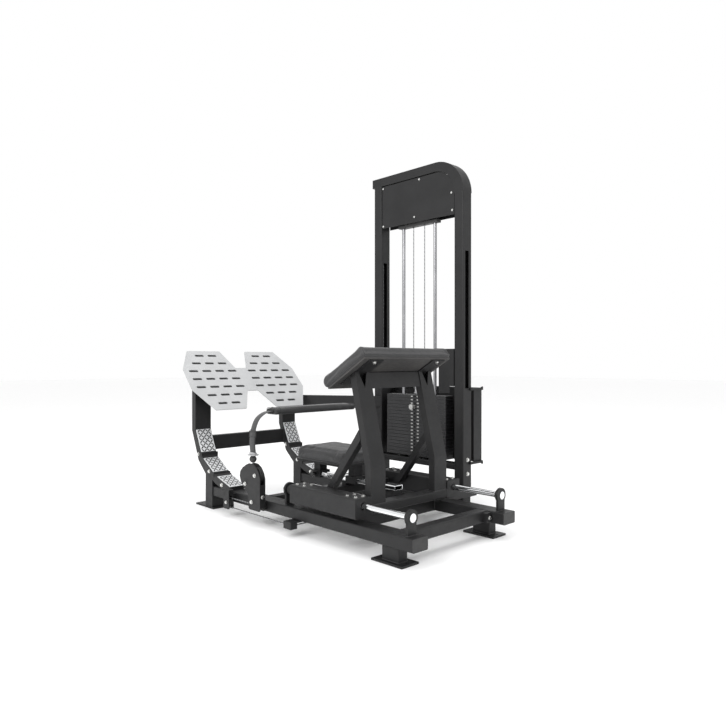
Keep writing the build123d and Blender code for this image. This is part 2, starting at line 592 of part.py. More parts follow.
with BuildPart() as selector_pin:
    rod((STACK_X, TOWER_Y[0] - 2, pin_z), (0, -1, 0), KNOB_R - 7, 16)
    rod((STACK_X, TOWER_Y[0] - 18, pin_z), (0, -1, 0), KNOB_R, 22)
    rod((STACK_X, TOWER_Y[0] - 2, pin_z), (0, 1, 0), PIN_R, 55)
selector_pin.part.label = "selector_pin"
export_step(selector_pin.part, "parts/selector_pin.step")

# the stack's cable: two runs that shorten as the stack rises, a loop under the floating pulley,
# and the run over the header pulleys down into the left upright
with BuildPart() as stack_cable:
    for side in SIDES:
        rod((STACK_X + side * FLOAT_R, STACK_Y, FLOAT_Z + 0.4), (0, 0, 1), CABLE_R,
            STATIC_CABLE_Z - FLOAT_Z - 0.8)
stack_cable.part.label = "stack_cable"
export_step(stack_cable.part, "parts/stack_cable.step")

with BuildPart() as cable_loop:
    with BuildLine(side_plane(STACK_Y)) as loop_path:
        CenterArc((STACK_X, FLOAT_Z), FLOAT_R, 180, 180)
    with BuildSketch(Plane(origin=loop_path.line @ 0, z_dir=loop_path.line % 0)):
        Circle(CABLE_R)
    sweep(path=loop_path.line)
cable_loop.part.label = "cable_loop"
export_step(cable_loop.part, "parts/cable_loop.step")

CABLE_END_Z = 150.0
with BuildPart() as header_cable:
    with BuildLine(side_plane(STACK_Y)) as header_path:
        left, right = turn_x - TURN_R, STACK_X - FLOAT_R
        top = TOP_PULLEY_Z + FLOAT_R
        FilletPolyline((right, STATIC_CABLE_Z), (right, top), (left, top), (left, CABLE_END_Z),
                       radius=[FLOAT_R, TURN_R])
    with BuildSketch(Plane(origin=header_path.line @ 0, z_dir=header_path.line % 0)):
        Circle(CABLE_R)
    sweep(path=header_path.line)
    rod((STACK_X + FLOAT_R, STACK_Y, STATIC_CABLE_Z), (0, 0, 1), CABLE_R, 120)
    rod((STACK_X + FLOAT_R, STACK_Y, STATIC_CABLE_Z + 110), (0, 0, 1), 6.0, TOWER_TOP - ARCH_T - 2010)
header_cable.part.label = "header_cable"
export_step(header_cable.part, "parts/header_cable.step")

GUARD_Y, GUARD_Z = (606.0, 689.0), (261.0, 735.0)
SHEET = 3.0
with BuildPart() as rear_guard:
    block((TOWER_X[0], GUARD_Y[0], GUARD_Z[0] + 14), (TOWER_X[1], GUARD_Y[1], GUARD_Z[1] - 14))
    block((TOWER_X[0] + SHEET, GUARD_Y[0] - 1, GUARD_Z[0]),
          (TOWER_X[1] - SHEET, GUARD_Y[1] - SHEET, GUARD_Z[1]), Mode.SUBTRACT)
    for z in (GUARD_Z[0], GUARD_Z[1] - 14):
        block((TOWER_X[0] - 12, 560, z), (TOWER_X[1] + 12, GUARD_Y[1], z + 14))
        block((TOWER_X[0], 559, z - 1), (TOWER_X[1], GUARD_Y[1] - 14, z + 15), Mode.SUBTRACT)
    for side_x, outward in ((TOWER_X[0] - 12, -1), (TOWER_X[1] + 12, 1)):
        for z, tip in ((GUARD_Z[1], 8), (GUARD_Z[0], -8)):
            inner_x = side_x - outward * 12
            with BuildSketch(Plane.XZ.offset(-GUARD_Y[1])):
                Polygon((inner_x, z), (side_x, z), (side_x, z + tip), align=None)
            extrude(amount=14)
rear_guard.part.label = "rear_guard"
export_step(rear_guard.part, "parts/rear_guard.step")

PANEL_OUTLINE = [(248, 700), (336, 704), (336, 746), (TOWER_X[1] - UPRIGHT_W, 746),
                 (TOWER_X[1] - UPRIGHT_W, 980), (300, 980), (248, 930)]
with BuildPart() as side_panel:
    side_plate(PANEL_OUTLINE, TOWER_Y[0] - 4, TOWER_Y[0] - 1)
    block((TOWER_X[1] - UPRIGHT_W - 3, TOWER_Y[0] - 4, 746), (TOWER_X[1] - UPRIGHT_W, TOWER_Y[0] + 20, 980))
side_panel.part.label = "side_panel"
export_step(side_panel.part, "parts/side_panel.step")

# ---- belt pulleys and cables --------------------------------------------------------------
HOUSING = [(-38, 84), (-38, 262), (-49, 290), (-71, 318), (-104, 336), (-143, 338), (-171, 327),
           (-206, 308), (-229, 285), (-236, 258), (-223, 228), (-189, 194), (-152, 166), (-146, 84)]
HOUSING_IN, HOUSING_T = 13.0, 5.0
HOUSING_GAP = RAIL_HALF_GAP + RAIL_W / 2 - (HOUSING_Y - HOUSING_IN - HOUSING_T)
HOUSING_WALL = (-43.0, -38.0)
SPACERS = ((-181, 219), (-118, 127))
SPACER_R = 8.0
with BuildPart() as pulley_housings:
    for side in SIDES:
        y = MID_Y + side * HOUSING_Y
        for face in SIDES:
            low = y + face * (HOUSING_IN + HOUSING_T / 2) - HOUSING_T / 2
            side_plate(HOUSING, low, low + HOUSING_T, 12)
        block((HOUSING_WALL[0], y - HOUSING_IN, 104), (HOUSING_WALL[1], y + HOUSING_IN, 228))
        inner = y - side * (HOUSING_IN + HOUSING_T)
        low, high = sorted((inner, inner + side * HOUSING_GAP))
        block((-134, low, 92), (-48, high, 134))
        for x, z in SPACERS:
            rod((x, y - HOUSING_IN, z), (0, 1, 0), SPACER_R, 2 * HOUSING_IN)
pulley_housings.part.label = "pulley_housings"
export_step(pulley_housings.part, "parts/pulley_housings.step")

with BuildPart() as belt_pulleys:
    for side in SIDES:
        pulley((BELT_AXLE[0], MID_Y + side * HOUSING_Y, BELT_AXLE[1]), BELT_PULLEY_R,
               BELT_PULLEY_R + 4, AXLE_R + AXLE_FIT)
belt_pulleys.part.label = "belt_pulleys"
export_step(belt_pulleys.part, "parts/belt_pulleys.step")

near_belt_y, far_belt_y = MID_Y - HOUSING_Y, MID_Y + HOUSING_Y
with BuildPart() as low_pulley:
    pulley((LOW_AXLE[0], near_belt_y, LOW_AXLE[1]), LOW_PULLEY_R, LOW_PULLEY_R + 4, AXLE_R + AXLE_FIT)
low_pulley.part.label = "low_pulley"
export_step(low_pulley.part, "parts/low_pulley.step")

TURN_BEND = 20.0
NEAR_RUN_X, FAR_RUN_X = 222.0, BELT_AXLE[0] + BELT_PULLEY_R
cable_low, cable_high = LOW_AXLE[1] - LOW_PULLEY_R, LOW_AXLE[1] + LOW_PULLEY_R
BASE_RAIL_Y = 533.0
with BuildPart() as cable_brackets:
    for face in SIDES:
        low = near_belt_y + face * 14 - 2.5
        side_plate([(-412, 46), (-350, 46), (-354, 158), (-404, 158)], low, low + 5, 8)
    block((-402, near_belt_y - 11.5, 119), (-358, near_belt_y + 11.5, 156))
    rod((LOW_AXLE[0], near_belt_y - 11.5, LOW_AXLE[1]), (0, 1, 0), AXLE_R, 23)
    block((-402, near_belt_y + 16.5, 84), (-358, near_y - RAIL_W / 2, 132))
    block((NEAR_RUN_X - 46, near_belt_y - 20, 40), (NEAR_RUN_X + 16, near_belt_y + 22, RAIL_LOW))
    block((NEAR_RUN_X - 46, near_belt_y, RAIL_LOW - 8), (NEAR_RUN_X + 16, near_y + 20, RAIL_LOW))
    block((NEAR_RUN_X - 47, near_belt_y - 8, cable_low - 8),
          (NEAR_RUN_X + 8, near_belt_y + 8, cable_low + 8), Mode.SUBTRACT)
    block((NEAR_RUN_X - 18, near_belt_y - 8, cable_low - 8),
          (NEAR_RUN_X + 8, near_belt_y + 40, cable_low + 8), Mode.SUBTRACT)
    block((FAR_RUN_X - 20, far_belt_y - 24, 42), (FAR_RUN_X + 20, far_belt_y + 46, 75))
    block((FAR_RUN_X - 8, far_belt_y - 8, cable_low - 8), (FAR_RUN_X + 8, far_belt_y + 60, 76),
          Mode.SUBTRACT)
cable_brackets.part.label = "cable_brackets"
export_step(cable_brackets.part, "parts/cable_brackets.step")


def run_to_tower(x, y):
    """The low cable run from y to the tower's base rail, where it turns up into the tube."""
    corner = TURN_BEND * (1 - math.sqrt(0.5))
    Line((x, y, cable_low), (x, BASE_RAIL_Y - TURN_BEND, cable_low))
    ThreePointArc((x, BASE_RAIL_Y - TURN_BEND, cable_low),
                  (x, BASE_RAIL_Y - corner, cable_low + corner),
                  (x, BASE_RAIL_Y, cable_low + TURN_BEND))
    Line((x, BASE_RAIL_Y, cable_low + TURN_BEND), (x, BASE_RAIL_Y, RAIL_LOW))


with BuildPart() as belt_cables:
    bend, corner = TURN_BEND, TURN_BEND * (1 - math.sqrt(0.5))
    x_low, y = LOW_AXLE[0], near_belt_y
    with BuildLine() as near_path:
        Line((-90, y, cable_high), (x_low, y, cable_high))
        ThreePointArc((x_low, y, cable_high), (x_low - LOW_PULLEY_R, y, LOW_AXLE[1]),
                      (x_low, y, cable_low))
        Line((x_low, y, cable_low), (NEAR_RUN_X - bend, y, cable_low))
        ThreePointArc((NEAR_RUN_X - bend, y, cable_low), (NEAR_RUN_X - corner, y + corner, cable_low),
                      (NEAR_RUN_X, y + bend, cable_low))
        run_to_tower(NEAR_RUN_X, y + bend)
    with BuildSketch(Plane(origin=near_path.line @ 0, z_dir=near_path.line % 0)):
        Circle(CABLE_R)
    sweep(path=near_path.line)
    y = far_belt_y
    with BuildLine() as far_path:
        Line((FAR_RUN_X, y, 100), (FAR_RUN_X, y, cable_low + bend))
        ThreePointArc((FAR_RUN_X, y, cable_low + bend), (FAR_RUN_X, y + corner, cable_low + corner),
                      (FAR_RUN_X, y + bend, cable_low))
        run_to_tower(FAR_RUN_X, y + bend)
    with BuildSketch(Plane(origin=far_path.line @ 0, z_dir=far_path.line % 0)):
        Circle(CABLE_R)
    sweep(path=far_path.line)
belt_cables.part.label = "belt_cables"
export_step(belt_cables.part, "parts/belt_cables.step")

# ---- hip belt -----------------------------------------------------------------------------
BELT_HALF_L, BELT_HALF_W, BELT_T = 305.0, 55.0, 38.0
with BuildPart() as hip_belt_pad:
    with BuildSketch(Plane.XZ.offset(-(MID_Y + BELT_HALF_L))):
        with Locations((BELT_X, BELT_Z)):
            RectangleRounded(2 * BELT_HALF_W, BELT_T, BELT_T / 2 - 1)
    extrude(amount=2 * BELT_HALF_L)
hip_belt_pad.part.label = "hip_belt_pad"
export_step(hip_belt_pad.part, "parts/hip_belt_pad.step")

STRAP_W, STRAP_T = 46.0, 4.0
STRAP_LOW_Z = 390.0
RING_Z = 384.0
DISC_R, DISC_T = 32.0, 4.0
with BuildPart() as belt_straps:
    for side in SIDES:
        y, end_y = MID_Y + side * HOUSING_Y, MID_Y + side * (BELT_HALF_L + 4)
        points = [(y, STRAP_LOW_Z), (y + side * 3, 470.0), (y - side * 6, 545.0),
                  (y - side * 44, 598.0), (end_y, BELT_Z)]
        with BuildLine(Plane(origin=(BELT_X, 0, 0), x_dir=(0, 1, 0), z_dir=(1, 0, 0))) as strap_path:
            FilletPolyline(*points, radius=[160, 60, 50])
        with BuildSketch(Plane(origin=strap_path.line @ 0, x_dir=(1, 0, 0), z_dir=strap_path.line % 0)):
            Rectangle(STRAP_W, STRAP_T)
        sweep(path=strap_path.line)
belt_straps.part.label = "belt_straps"
export_step(belt_straps.part, "parts/belt_straps.step")

BALL_R, BALL_Z = 20.0, 361.0
with BuildPart() as ball_stoppers:
    for side in SIDES:
        with Locations((BELT_X, MID_Y + side * HOUSING_Y, BALL_Z)):
            Sphere(BALL_R)
            Cylinder(CABLE_R, 3 * BALL_R, mode=Mode.SUBTRACT)
ball_stoppers.part.label = "ball_stoppers"
export_step(ball_stoppers.part, "parts/ball_stoppers.step")

LIFT_LOW = 160.0
with BuildPart() as belt_fittings:
    for side in SIDES:
        y = MID_Y + side * HOUSING_Y
        rod((BELT_X, y, LIFT_LOW), (0, 0, 1), CABLE_R, RING_Z - LIFT_LOW)
        rod((BELT_X, y, RING_Z - DISC_T / 2), (0, 0, 1), DISC_R, DISC_T)
        block((BELT_X - 27, y - 8, RING_Z), (BELT_X + 27, y + 8, STRAP_LOW_Z + 8))
        block((BELT_X - STRAP_W / 2 - 1, y - 3, STRAP_LOW_Z), (BELT_X + STRAP_W / 2 + 1, y + 3,
              STRAP_LOW_Z + 12), Mode.SUBTRACT)
belt_fittings.part.label = "belt_fittings"
export_step(belt_fittings.part, "parts/belt_fittings.step")

# ---- carriage -----------------------------------------------------------------------------
BOX_WALL = 5.0
box_z = sum(BOX_Z) / 2
with BuildPart() as bearing_boxes:
    for y in RAIL_Y:
        with BuildSketch(Plane(origin=(BOX_X[0], y, box_z), x_dir=(0, 1, 0), z_dir=(1, 0, 0))):
            tube_section(BOX_W, BOX_Z[1] - BOX_Z[0], BOX_WALL, 9)
        extrude(amount=BOX_X[1] - BOX_X[0])
        for x in (BOX_X[0], BOX_X[1] - 4):
            with BuildSketch(Plane(origin=(x, y, box_z), x_dir=(0, 1, 0), z_dir=(1, 0, 0))):
                Rectangle(BOX_W - 2 * BOX_WALL, BOX_Z[1] - BOX_Z[0] - 2 * BOX_WALL)
                with Locations((0, ROD_Z - box_z)):
                    Circle(ROD_R + 3, mode=Mode.SUBTRACT)
            extrude(amount=4)
bearing_boxes.part.label = "bearing_boxes"
export_step(bearing_boxes.part, "parts/bearing_boxes.step")

BEARING_L = 90.0
with BuildPart() as linear_bearings:
    for y in RAIL_Y:
        for x in (BOX_X[0] + 12, BOX_X[1] - 12 - BEARING_L):
            block((x, y - 36, ROD_Z - 30), (x + BEARING_L, y + 36, BOX_Z[1] - BOX_WALL))
            rod((x, y, ROD_Z), (1, 0, 0), ROD_R + 0.06, BEARING_L, Mode.SUBTRACT)
linear_bearings.part.label = "linear_bearings"
export_step(linear_bearings.part, "parts/linear_bearings.step")

INNER = (near_y + BOX_W / 2, far_y - BOX_W / 2)
CROSS_Z = (165.0, 210.0)
SEAT_POST_X = (540.0, 572.0)
with BuildPart() as carriage_beams:
    cross_mid = sum(CROSS_Z) / 2
    tube_y(*INNER, BOX_X[1] - 40, cross_mid, 80.0, CROSS_Z[1] - CROSS_Z[0])
    tube_y(*INNER, BOX_X[0] + 30, cross_mid, 60.0, CROSS_Z[1] - CROSS_Z[0])
    for low_x, high_x in ((BOX_X[0] + 4, BOX_X[0] + 36), SEAT_POST_X):
        block((low_x, MID_Y - 30, CROSS_Z[1]), (high_x, MID_Y + 30, SEAT_RAIL_Z[0]))
    block((SEAT_POST_X[0], MID_Y - 30, CROSS_Z[0]), (BOX_X[1] - 80, MID_Y + 30, CROSS_Z[1]))
carriage_beams.part.label = "carriage_beams"
export_step(carriage_beams.part, "parts/carriage_beams.step")

front_top = post_top(POST_FRONT)
back_top = post_top(POST_FRONT - POST_D - 3)
POST_OUTLINE = [(POST_FRONT - POST_D, CROSS_Z[1]), (POST_FRONT, CROSS_Z[1]), (POST_FRONT, POST_KNEE_Z),
                front_top, back_top, (POST_FRONT - POST_D, POST_KNEE_Z - 8)]
NOTCH_D, NOTCH_W = 78.0, 68.0
with BuildPart() as carriage_posts:
    for side in SIDES:
        y = MID_Y + side * POST_OFFSET
        bent_tube(POST_OUTLINE, y - POST_W / 2, y + POST_W / 2,
                  [(POST_FRONT - POST_D + WALL, POST_FRONT - WALL, CROSS_Z[1] - 1, CROSS_Z[1] + 5)])
        with BuildSketch(Plane.YZ.offset(back_top[0] - 60)):
            Polygon((y, front_top[1] - NOTCH_D), (y - NOTCH_W / 2, front_top[1] + 20),
                    (y + NOTCH_W / 2, front_top[1] + 20), align=None)
        extrude(amount=200, mode=Mode.SUBTRACT)
carriage_posts.part.label = "carriage_posts"
export_step(carriage_posts.part, "parts/carriage_posts.step")

BRACE_FOOT, BRACE_HEAD = (326.0, CROSS_Z[1]), (518.0, 566.0)
BRACE_W, BRACE_HALF_L = 40.0, 20.0
with BuildPart() as carriage_braces:
    knee_x, knee_z = POST_FRONT - POST_D, POST_KNEE_Z - 8
    back_slope = (back_top[0] - knee_x) / (back_top[1] - knee_z)
    low_x, high_x = [knee_x + (z - knee_z) * back_slope for z in BRACE_HEAD]
    points = [(BRACE_FOOT[0] - BRACE_HALF_L, BRACE_FOOT[1]), (BRACE_FOOT[0] + BRACE_HALF_L, BRACE_FOOT[1]),
              (low_x, BRACE_HEAD[0]), (high_x, BRACE_HEAD[1])]
    for side in SIDES:
        y_wall = MID_Y + side * (RAIL_HALF_GAP - BOX_W / 2)
        y_low, y_high = sorted((y_wall, y_wall - side * BRACE_W))
        side_plate(points, y_low, y_high)
        with BuildSketch(side_plane(y_high - WALL)):
            Polygon((BRACE_FOOT[0] - BRACE_HALF_L + 4, BRACE_FOOT[1] - 1),
                    (BRACE_FOOT[0] + BRACE_HALF_L - 4, BRACE_FOOT[1] - 1),
                    (low_x - 3, BRACE_HEAD[0] + 3), (high_x - 3, BRACE_HEAD[1] - 8), align=None)
        extrude(amount=BRACE_W - 2 * WALL, mode=Mode.SUBTRACT)
carriage_braces.part.label = "carriage_braces"
export_step(carriage_braces.part, "parts/carriage_braces.step")

POST_IN = POST_OFFSET - POST_W / 2
with BuildPart() as pad_board:
    board_y = MID_Y + PAD_HALF_W - 10
    outline = [on_pad(s, t) for s, t in ((14, -PAD_T), (PAD_LEN - 28, -PAD_T),
                                         (PAD_LEN - 28, -PAD_T - BOARD_T), (14, -PAD_T - BOARD_T))]
    side_plate(outline, MID_Y - PAD_HALF_W + 10, board_y)
pad_board.part.label = "pad_board"
export_step(pad_board.part, "parts/pad_board.step")

# a tube between the posts that leans with them and ends just below the board
PAD_BEAM = [(526, 765), (566, 765), (547, 845), (507, 824)]
PAD_FLANGE = (24.0, 264.0)
with BuildPart() as pad_frame:
    for side in SIDES:
        y = MID_Y + side * POST_OFFSET
        low, high = -PAD_T - BOARD_T, -PAD_T - BOARD_T - FLANGE_T
        outline = [on_pad(s, t) for s, t in ((PAD_FLANGE[0], low), (PAD_FLANGE[1], low),
                                             (PAD_FLANGE[1], high), (PAD_FLANGE[0], high))]
        side_plate(outline, y - POST_W / 2, y + POST_W / 2)
    side_plate(PAD_BEAM, MID_Y - POST_IN, MID_Y + POST_IN)
    with BuildSketch(side_plane(MID_Y + POST_IN)) as beam_inside:
        Polygon(*PAD_BEAM, align=None)
        offset(amount=-WALL, kind=Kind.INTERSECTION, mode=Mode.REPLACE)
    extrude(beam_inside.sketch, amount=2 * POST_IN, mode=Mode.SUBTRACT)
pad_frame.part.label = "pad_frame"
export_step(pad_frame.part, "parts/pad_frame.step")

with BuildPart() as back_pad:
    outline = [on_pad(s, t) for s, t in ((0, 0), (PAD_LEN, 0), (PAD_LEN, -PAD_T), (0, -PAD_T))]
    with BuildSketch(side_plane(MID_Y + PAD_HALF_W)) as pad_profile:
        Polygon(*outline, align=None)
        fillet(pad_profile.vertices().sort_by(Axis.X)[:2], 32)
        fillet(pad_profile.vertices().sort_by(Axis.X)[-2:], 20)
    extrude(amount=2 * PAD_HALF_W)
back_pad.part.label = "back_pad"
export_step(back_pad.part, "parts/back_pad.step")

HOLE_R = 5.4
seat_rail_mid = sum(SEAT_RAIL_Z) / 2
PIN_X = -55.0
with BuildPart() as seat_rail:
    with BuildSketch(Plane(origin=(SEAT_RAIL_X[0], MID_Y, seat_rail_mid), x_dir=(0, 1, 0),
                           z_dir=(1, 0, 0))):
        tube_section(SEAT_RAIL_W, SEAT_RAIL_Z[1] - SEAT_RAIL_Z[0], 3.0, 5.0)
    extrude(amount=SEAT_RAIL_X[1] - SEAT_RAIL_X[0])
    for index in range(6):
        rod((PIN_X + index * SEAT_HOLE_PITCH, MID_Y - SEAT_RAIL_W / 2 - 1, seat_rail_mid), (0, 1, 0),
            HOLE_R, 6, Mode.SUBTRACT)
seat_rail.part.label = "seat_rail"
export_step(seat_rail.part, "parts/seat_rail.step")

# ---- seat ---------------------------------------------------------------------------------
SLEEVE_GAP, SLEEVE_WALL = 0.8, 7.0
SLEEVES = ((-95.0, -15.0), (205.0, 285.0))
with BuildPart() as seat_frame:
    half_in, low_in = SEAT_RAIL_W / 2 + SLEEVE_GAP, SEAT_RAIL_Z[0] - SLEEVE_GAP
    high_in = SEAT_RAIL_Z[1] + SLEEVE_GAP
    block((SEAT_X[0] + 12, MID_Y - SEAT_HALF_W + 14, SEAT_Z[0] - 12),
          (SEAT_X[1] - 12, MID_Y + SEAT_HALF_W - 14, SEAT_Z[0]))
    for low_x, high_x in SLEEVES:
        block((low_x, MID_Y - half_in - SLEEVE_WALL, low_in - SLEEVE_WALL),
              (high_x, MID_Y + half_in + SLEEVE_WALL, high_in + SLEEVE_WALL))
        block((low_x - 1, MID_Y - half_in, low_in), (high_x + 1, MID_Y + half_in, high_in), Mode.SUBTRACT)
        block((low_x + 12, MID_Y - 26, high_in + SLEEVE_WALL), (high_x - 12, MID_Y + 26, SEAT_Z[0] - 12))
    rod((PIN_X, MID_Y - half_in - SLEEVE_WALL - 1, seat_rail_mid), (0, 1, 0), HOLE_R, 10, Mode.SUBTRACT)
seat_frame.part.label = "seat_frame"
export_step(seat_frame.part, "parts/seat_frame.step")

with BuildPart() as seat_pad:
    with BuildSketch(Plane.XY.offset(SEAT_Z[0])):
        with Locations((sum(SEAT_X) / 2, MID_Y)):
            RectangleRounded(SEAT_X[1] - SEAT_X[0], 2 * SEAT_HALF_W, 45)
    extrude(amount=SEAT_Z[1] - SEAT_Z[0])
    fillet(seat_pad.edges().group_by(Axis.Z)[-1], 16)
seat_pad.part.label = "seat_pad"
export_step(seat_pad.part, "parts/seat_pad.step")

with BuildPart() as seat_pop_pin:
    outer_y = MID_Y - half_in - SLEEVE_WALL
    rod((PIN_X, MID_Y - SEAT_RAIL_W / 2 - 0.5, seat_rail_mid), (0, -1, 0), HOLE_R - 0.4, 12)
    rod((PIN_X, outer_y - 1.0, seat_rail_mid), (0, -1, 0), 9, 16)
    rod((PIN_X, outer_y - 17.0, seat_rail_mid), (0, -1, 0), 16, 14)
seat_pop_pin.part.label = "seat_pop_pin"
export_step(seat_pop_pin.part, "parts/seat_pop_pin.step")

# ---- fasteners ----------------------------------------------------------------------------
SCREWS = [(-250, 2092), (78, 2092), (345, 1955), (351, 1845), (36, 1853), (-249, 1832)]
with BuildPart() as frame_bolts:
    for x, z in SCREWS:
        bolt((x, COVER_Y[0], z), (0, -1, 0), 5.5, 4)
        bolt((x, COVER_Y[1] + COVER_T, z), (0, 1, 0), 5.5, 4)
    for x, z in ((top_x, TOP_PULLEY_Z), (turn_x, turn_z)):
        rod((x, COVER_Y[0] + COVER_T, z), (0, 1, 0), AXLE_R, COVER_Y[1] - COVER_Y[0] - COVER_T)
    bolt((STOP_BLOCK[1], BEAM_ENDS[1] - 14, rail_z - 2), (1, 0, 0), 9, 6)
    for x in TOWER_X:
        outward = -1 if x < 0 else 1
        for z in (292.0, 205.0):
            bolt((x, 541, z), (outward, 0, 0), 10, 8)
    for side in SIDES:
        y = MID_Y + side * HOUSING_Y
        rod((BELT_AXLE[0], y - HOUSING_IN, BELT_AXLE[1]), (0, 1, 0), AXLE_R, 2 * HOUSING_IN)
        outer = y + side * (HOUSING_IN + HOUSING_T)
        for x, z in (BELT_AXLE, *SPACERS):
            bolt((x, outer, z), (0, side, 0), 9, 7)
        bolt((HOUSING_WALL[1], y, 162), (1, 0, 0), 9, 7)
    bolt((LOW_AXLE[0], near_belt_y - 16.5, LOW_AXLE[1]), (0, -1, 0), 8, 6)
    for y in RAIL_Y:
        for x, z in ((-776, 318), (-645, 225), (-500, 161)):
            bolt((x, y - FRAME_HALF_W, z), (0, -1, 0), 9, 7)
            bolt((x, y + FRAME_HALF_W, z), (0, 1, 0), 9, 7)
frame_bolts.part.label = "frame_bolts"
export_step(frame_bolts.part, "parts/frame_bolts.step")

with BuildPart() as carriage_bolts:
    for y in RAIL_Y:
        for x0 in (BOX_X[0] + 12, BOX_X[1] - 12 - BEARING_L):
            for dx in (16, BEARING_L - 16):
                for dy in (-24, 24):
                    bolt((x0 + dx, y + dy, BOX_Z[1]), (0, 0, 1), 7.5, 6)
    angle = math.radians(PAD_ANGLE)
    for side in SIDES:
        for s, dy in ((42, 0), (244, 34)):
            x, z = on_pad(s, -PAD_T - BOARD_T - FLANGE_T)
            bolt((x, MID_Y + side * POST_OFFSET + dy, z), (math.sin(angle), 0, -math.cos(angle)), 8, 7)
carriage_bolts.part.label = "carriage_bolts"
export_step(carriage_bolts.part, "parts/carriage_bolts.step")
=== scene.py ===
"""Looks of the stack-loaded leg press and hip thrust machine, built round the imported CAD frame.

Metres, +Z up, in the CAD's own frame: X runs along the rails, +Y points to the weight tower.
Steel parts stay CAD nodes with procedural finishes. Cushions, straps, treads and the stack's
cable are built here as finer pieces that stand for their CAD nodes.
"""
import math

import bmesh
import bpy
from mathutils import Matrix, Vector
from mathutils.bvhtree import BVHTree


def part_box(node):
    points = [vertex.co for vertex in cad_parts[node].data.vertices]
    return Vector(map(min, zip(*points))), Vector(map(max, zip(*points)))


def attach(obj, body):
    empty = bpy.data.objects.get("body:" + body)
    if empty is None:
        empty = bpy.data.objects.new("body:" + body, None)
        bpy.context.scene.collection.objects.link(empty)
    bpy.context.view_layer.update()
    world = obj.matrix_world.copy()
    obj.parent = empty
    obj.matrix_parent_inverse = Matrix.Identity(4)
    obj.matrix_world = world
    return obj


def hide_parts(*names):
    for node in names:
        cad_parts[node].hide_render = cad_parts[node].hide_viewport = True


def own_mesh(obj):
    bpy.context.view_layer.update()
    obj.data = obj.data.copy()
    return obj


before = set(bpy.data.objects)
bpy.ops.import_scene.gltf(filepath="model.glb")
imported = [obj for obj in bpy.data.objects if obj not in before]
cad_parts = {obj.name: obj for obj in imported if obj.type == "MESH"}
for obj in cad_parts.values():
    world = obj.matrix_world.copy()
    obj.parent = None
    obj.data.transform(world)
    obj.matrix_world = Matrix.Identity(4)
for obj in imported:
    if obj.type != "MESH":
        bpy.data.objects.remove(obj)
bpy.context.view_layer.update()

X, Y, Z = Vector((1, 0, 0)), Vector((0, 1, 0)), Vector((0, 0, 1))

# ---- driving dimensions, read from the frame where a node gives them -----------------------
near_low, near_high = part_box("near_rail")
far_low, far_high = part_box("far_rail")
NEAR_Y, FAR_Y = (near_low.y + near_high.y) / 2, (far_low.y + far_high.y) / 2
MID_Y = (NEAR_Y + FAR_Y) / 2
RAIL_Z = (near_low.z + near_high.z) / 2
RAIL_TOP = near_high.z
RAIL_H = near_high.z - near_low.z
RAIL_HALF_W = (near_high.y - near_low.y) / 2

# each tread's upper and lower end in X and Z, down one foot frame
FACETS = [((-0.814, 0.470), (-0.746, 0.329)), ((-0.724, 0.297), (-0.602, 0.223)),
          ((-0.561, 0.203), (-0.413, 0.158))]
TREAD_HALF_W, TREAD_T = 0.052, 0.0026

# the stack's middle, and the front face of its plates
STACK_X, STACK_Y, FRONT_Y = 0.043, 0.541, 0.498
PLATE_PITCH, PLATE_H, PLATE_COUNT = 0.0224, 0.0214, 18

# the padded bar's middle line and half length, and the straps' distance from the mid plane
BELT_X, BELT_Z, BELT_HALF_L = -0.129, 0.620, 0.305
STRAP_Y = 0.424
STRAP_HALF_W = 0.024

PAD_SLOPE = math.radians(30.0)
PAD_ALONG = Vector((math.cos(PAD_SLOPE), 0, math.sin(PAD_SLOPE)))
PAD_UP = Vector((-math.sin(PAD_SLOPE), 0, math.cos(PAD_SLOPE)))


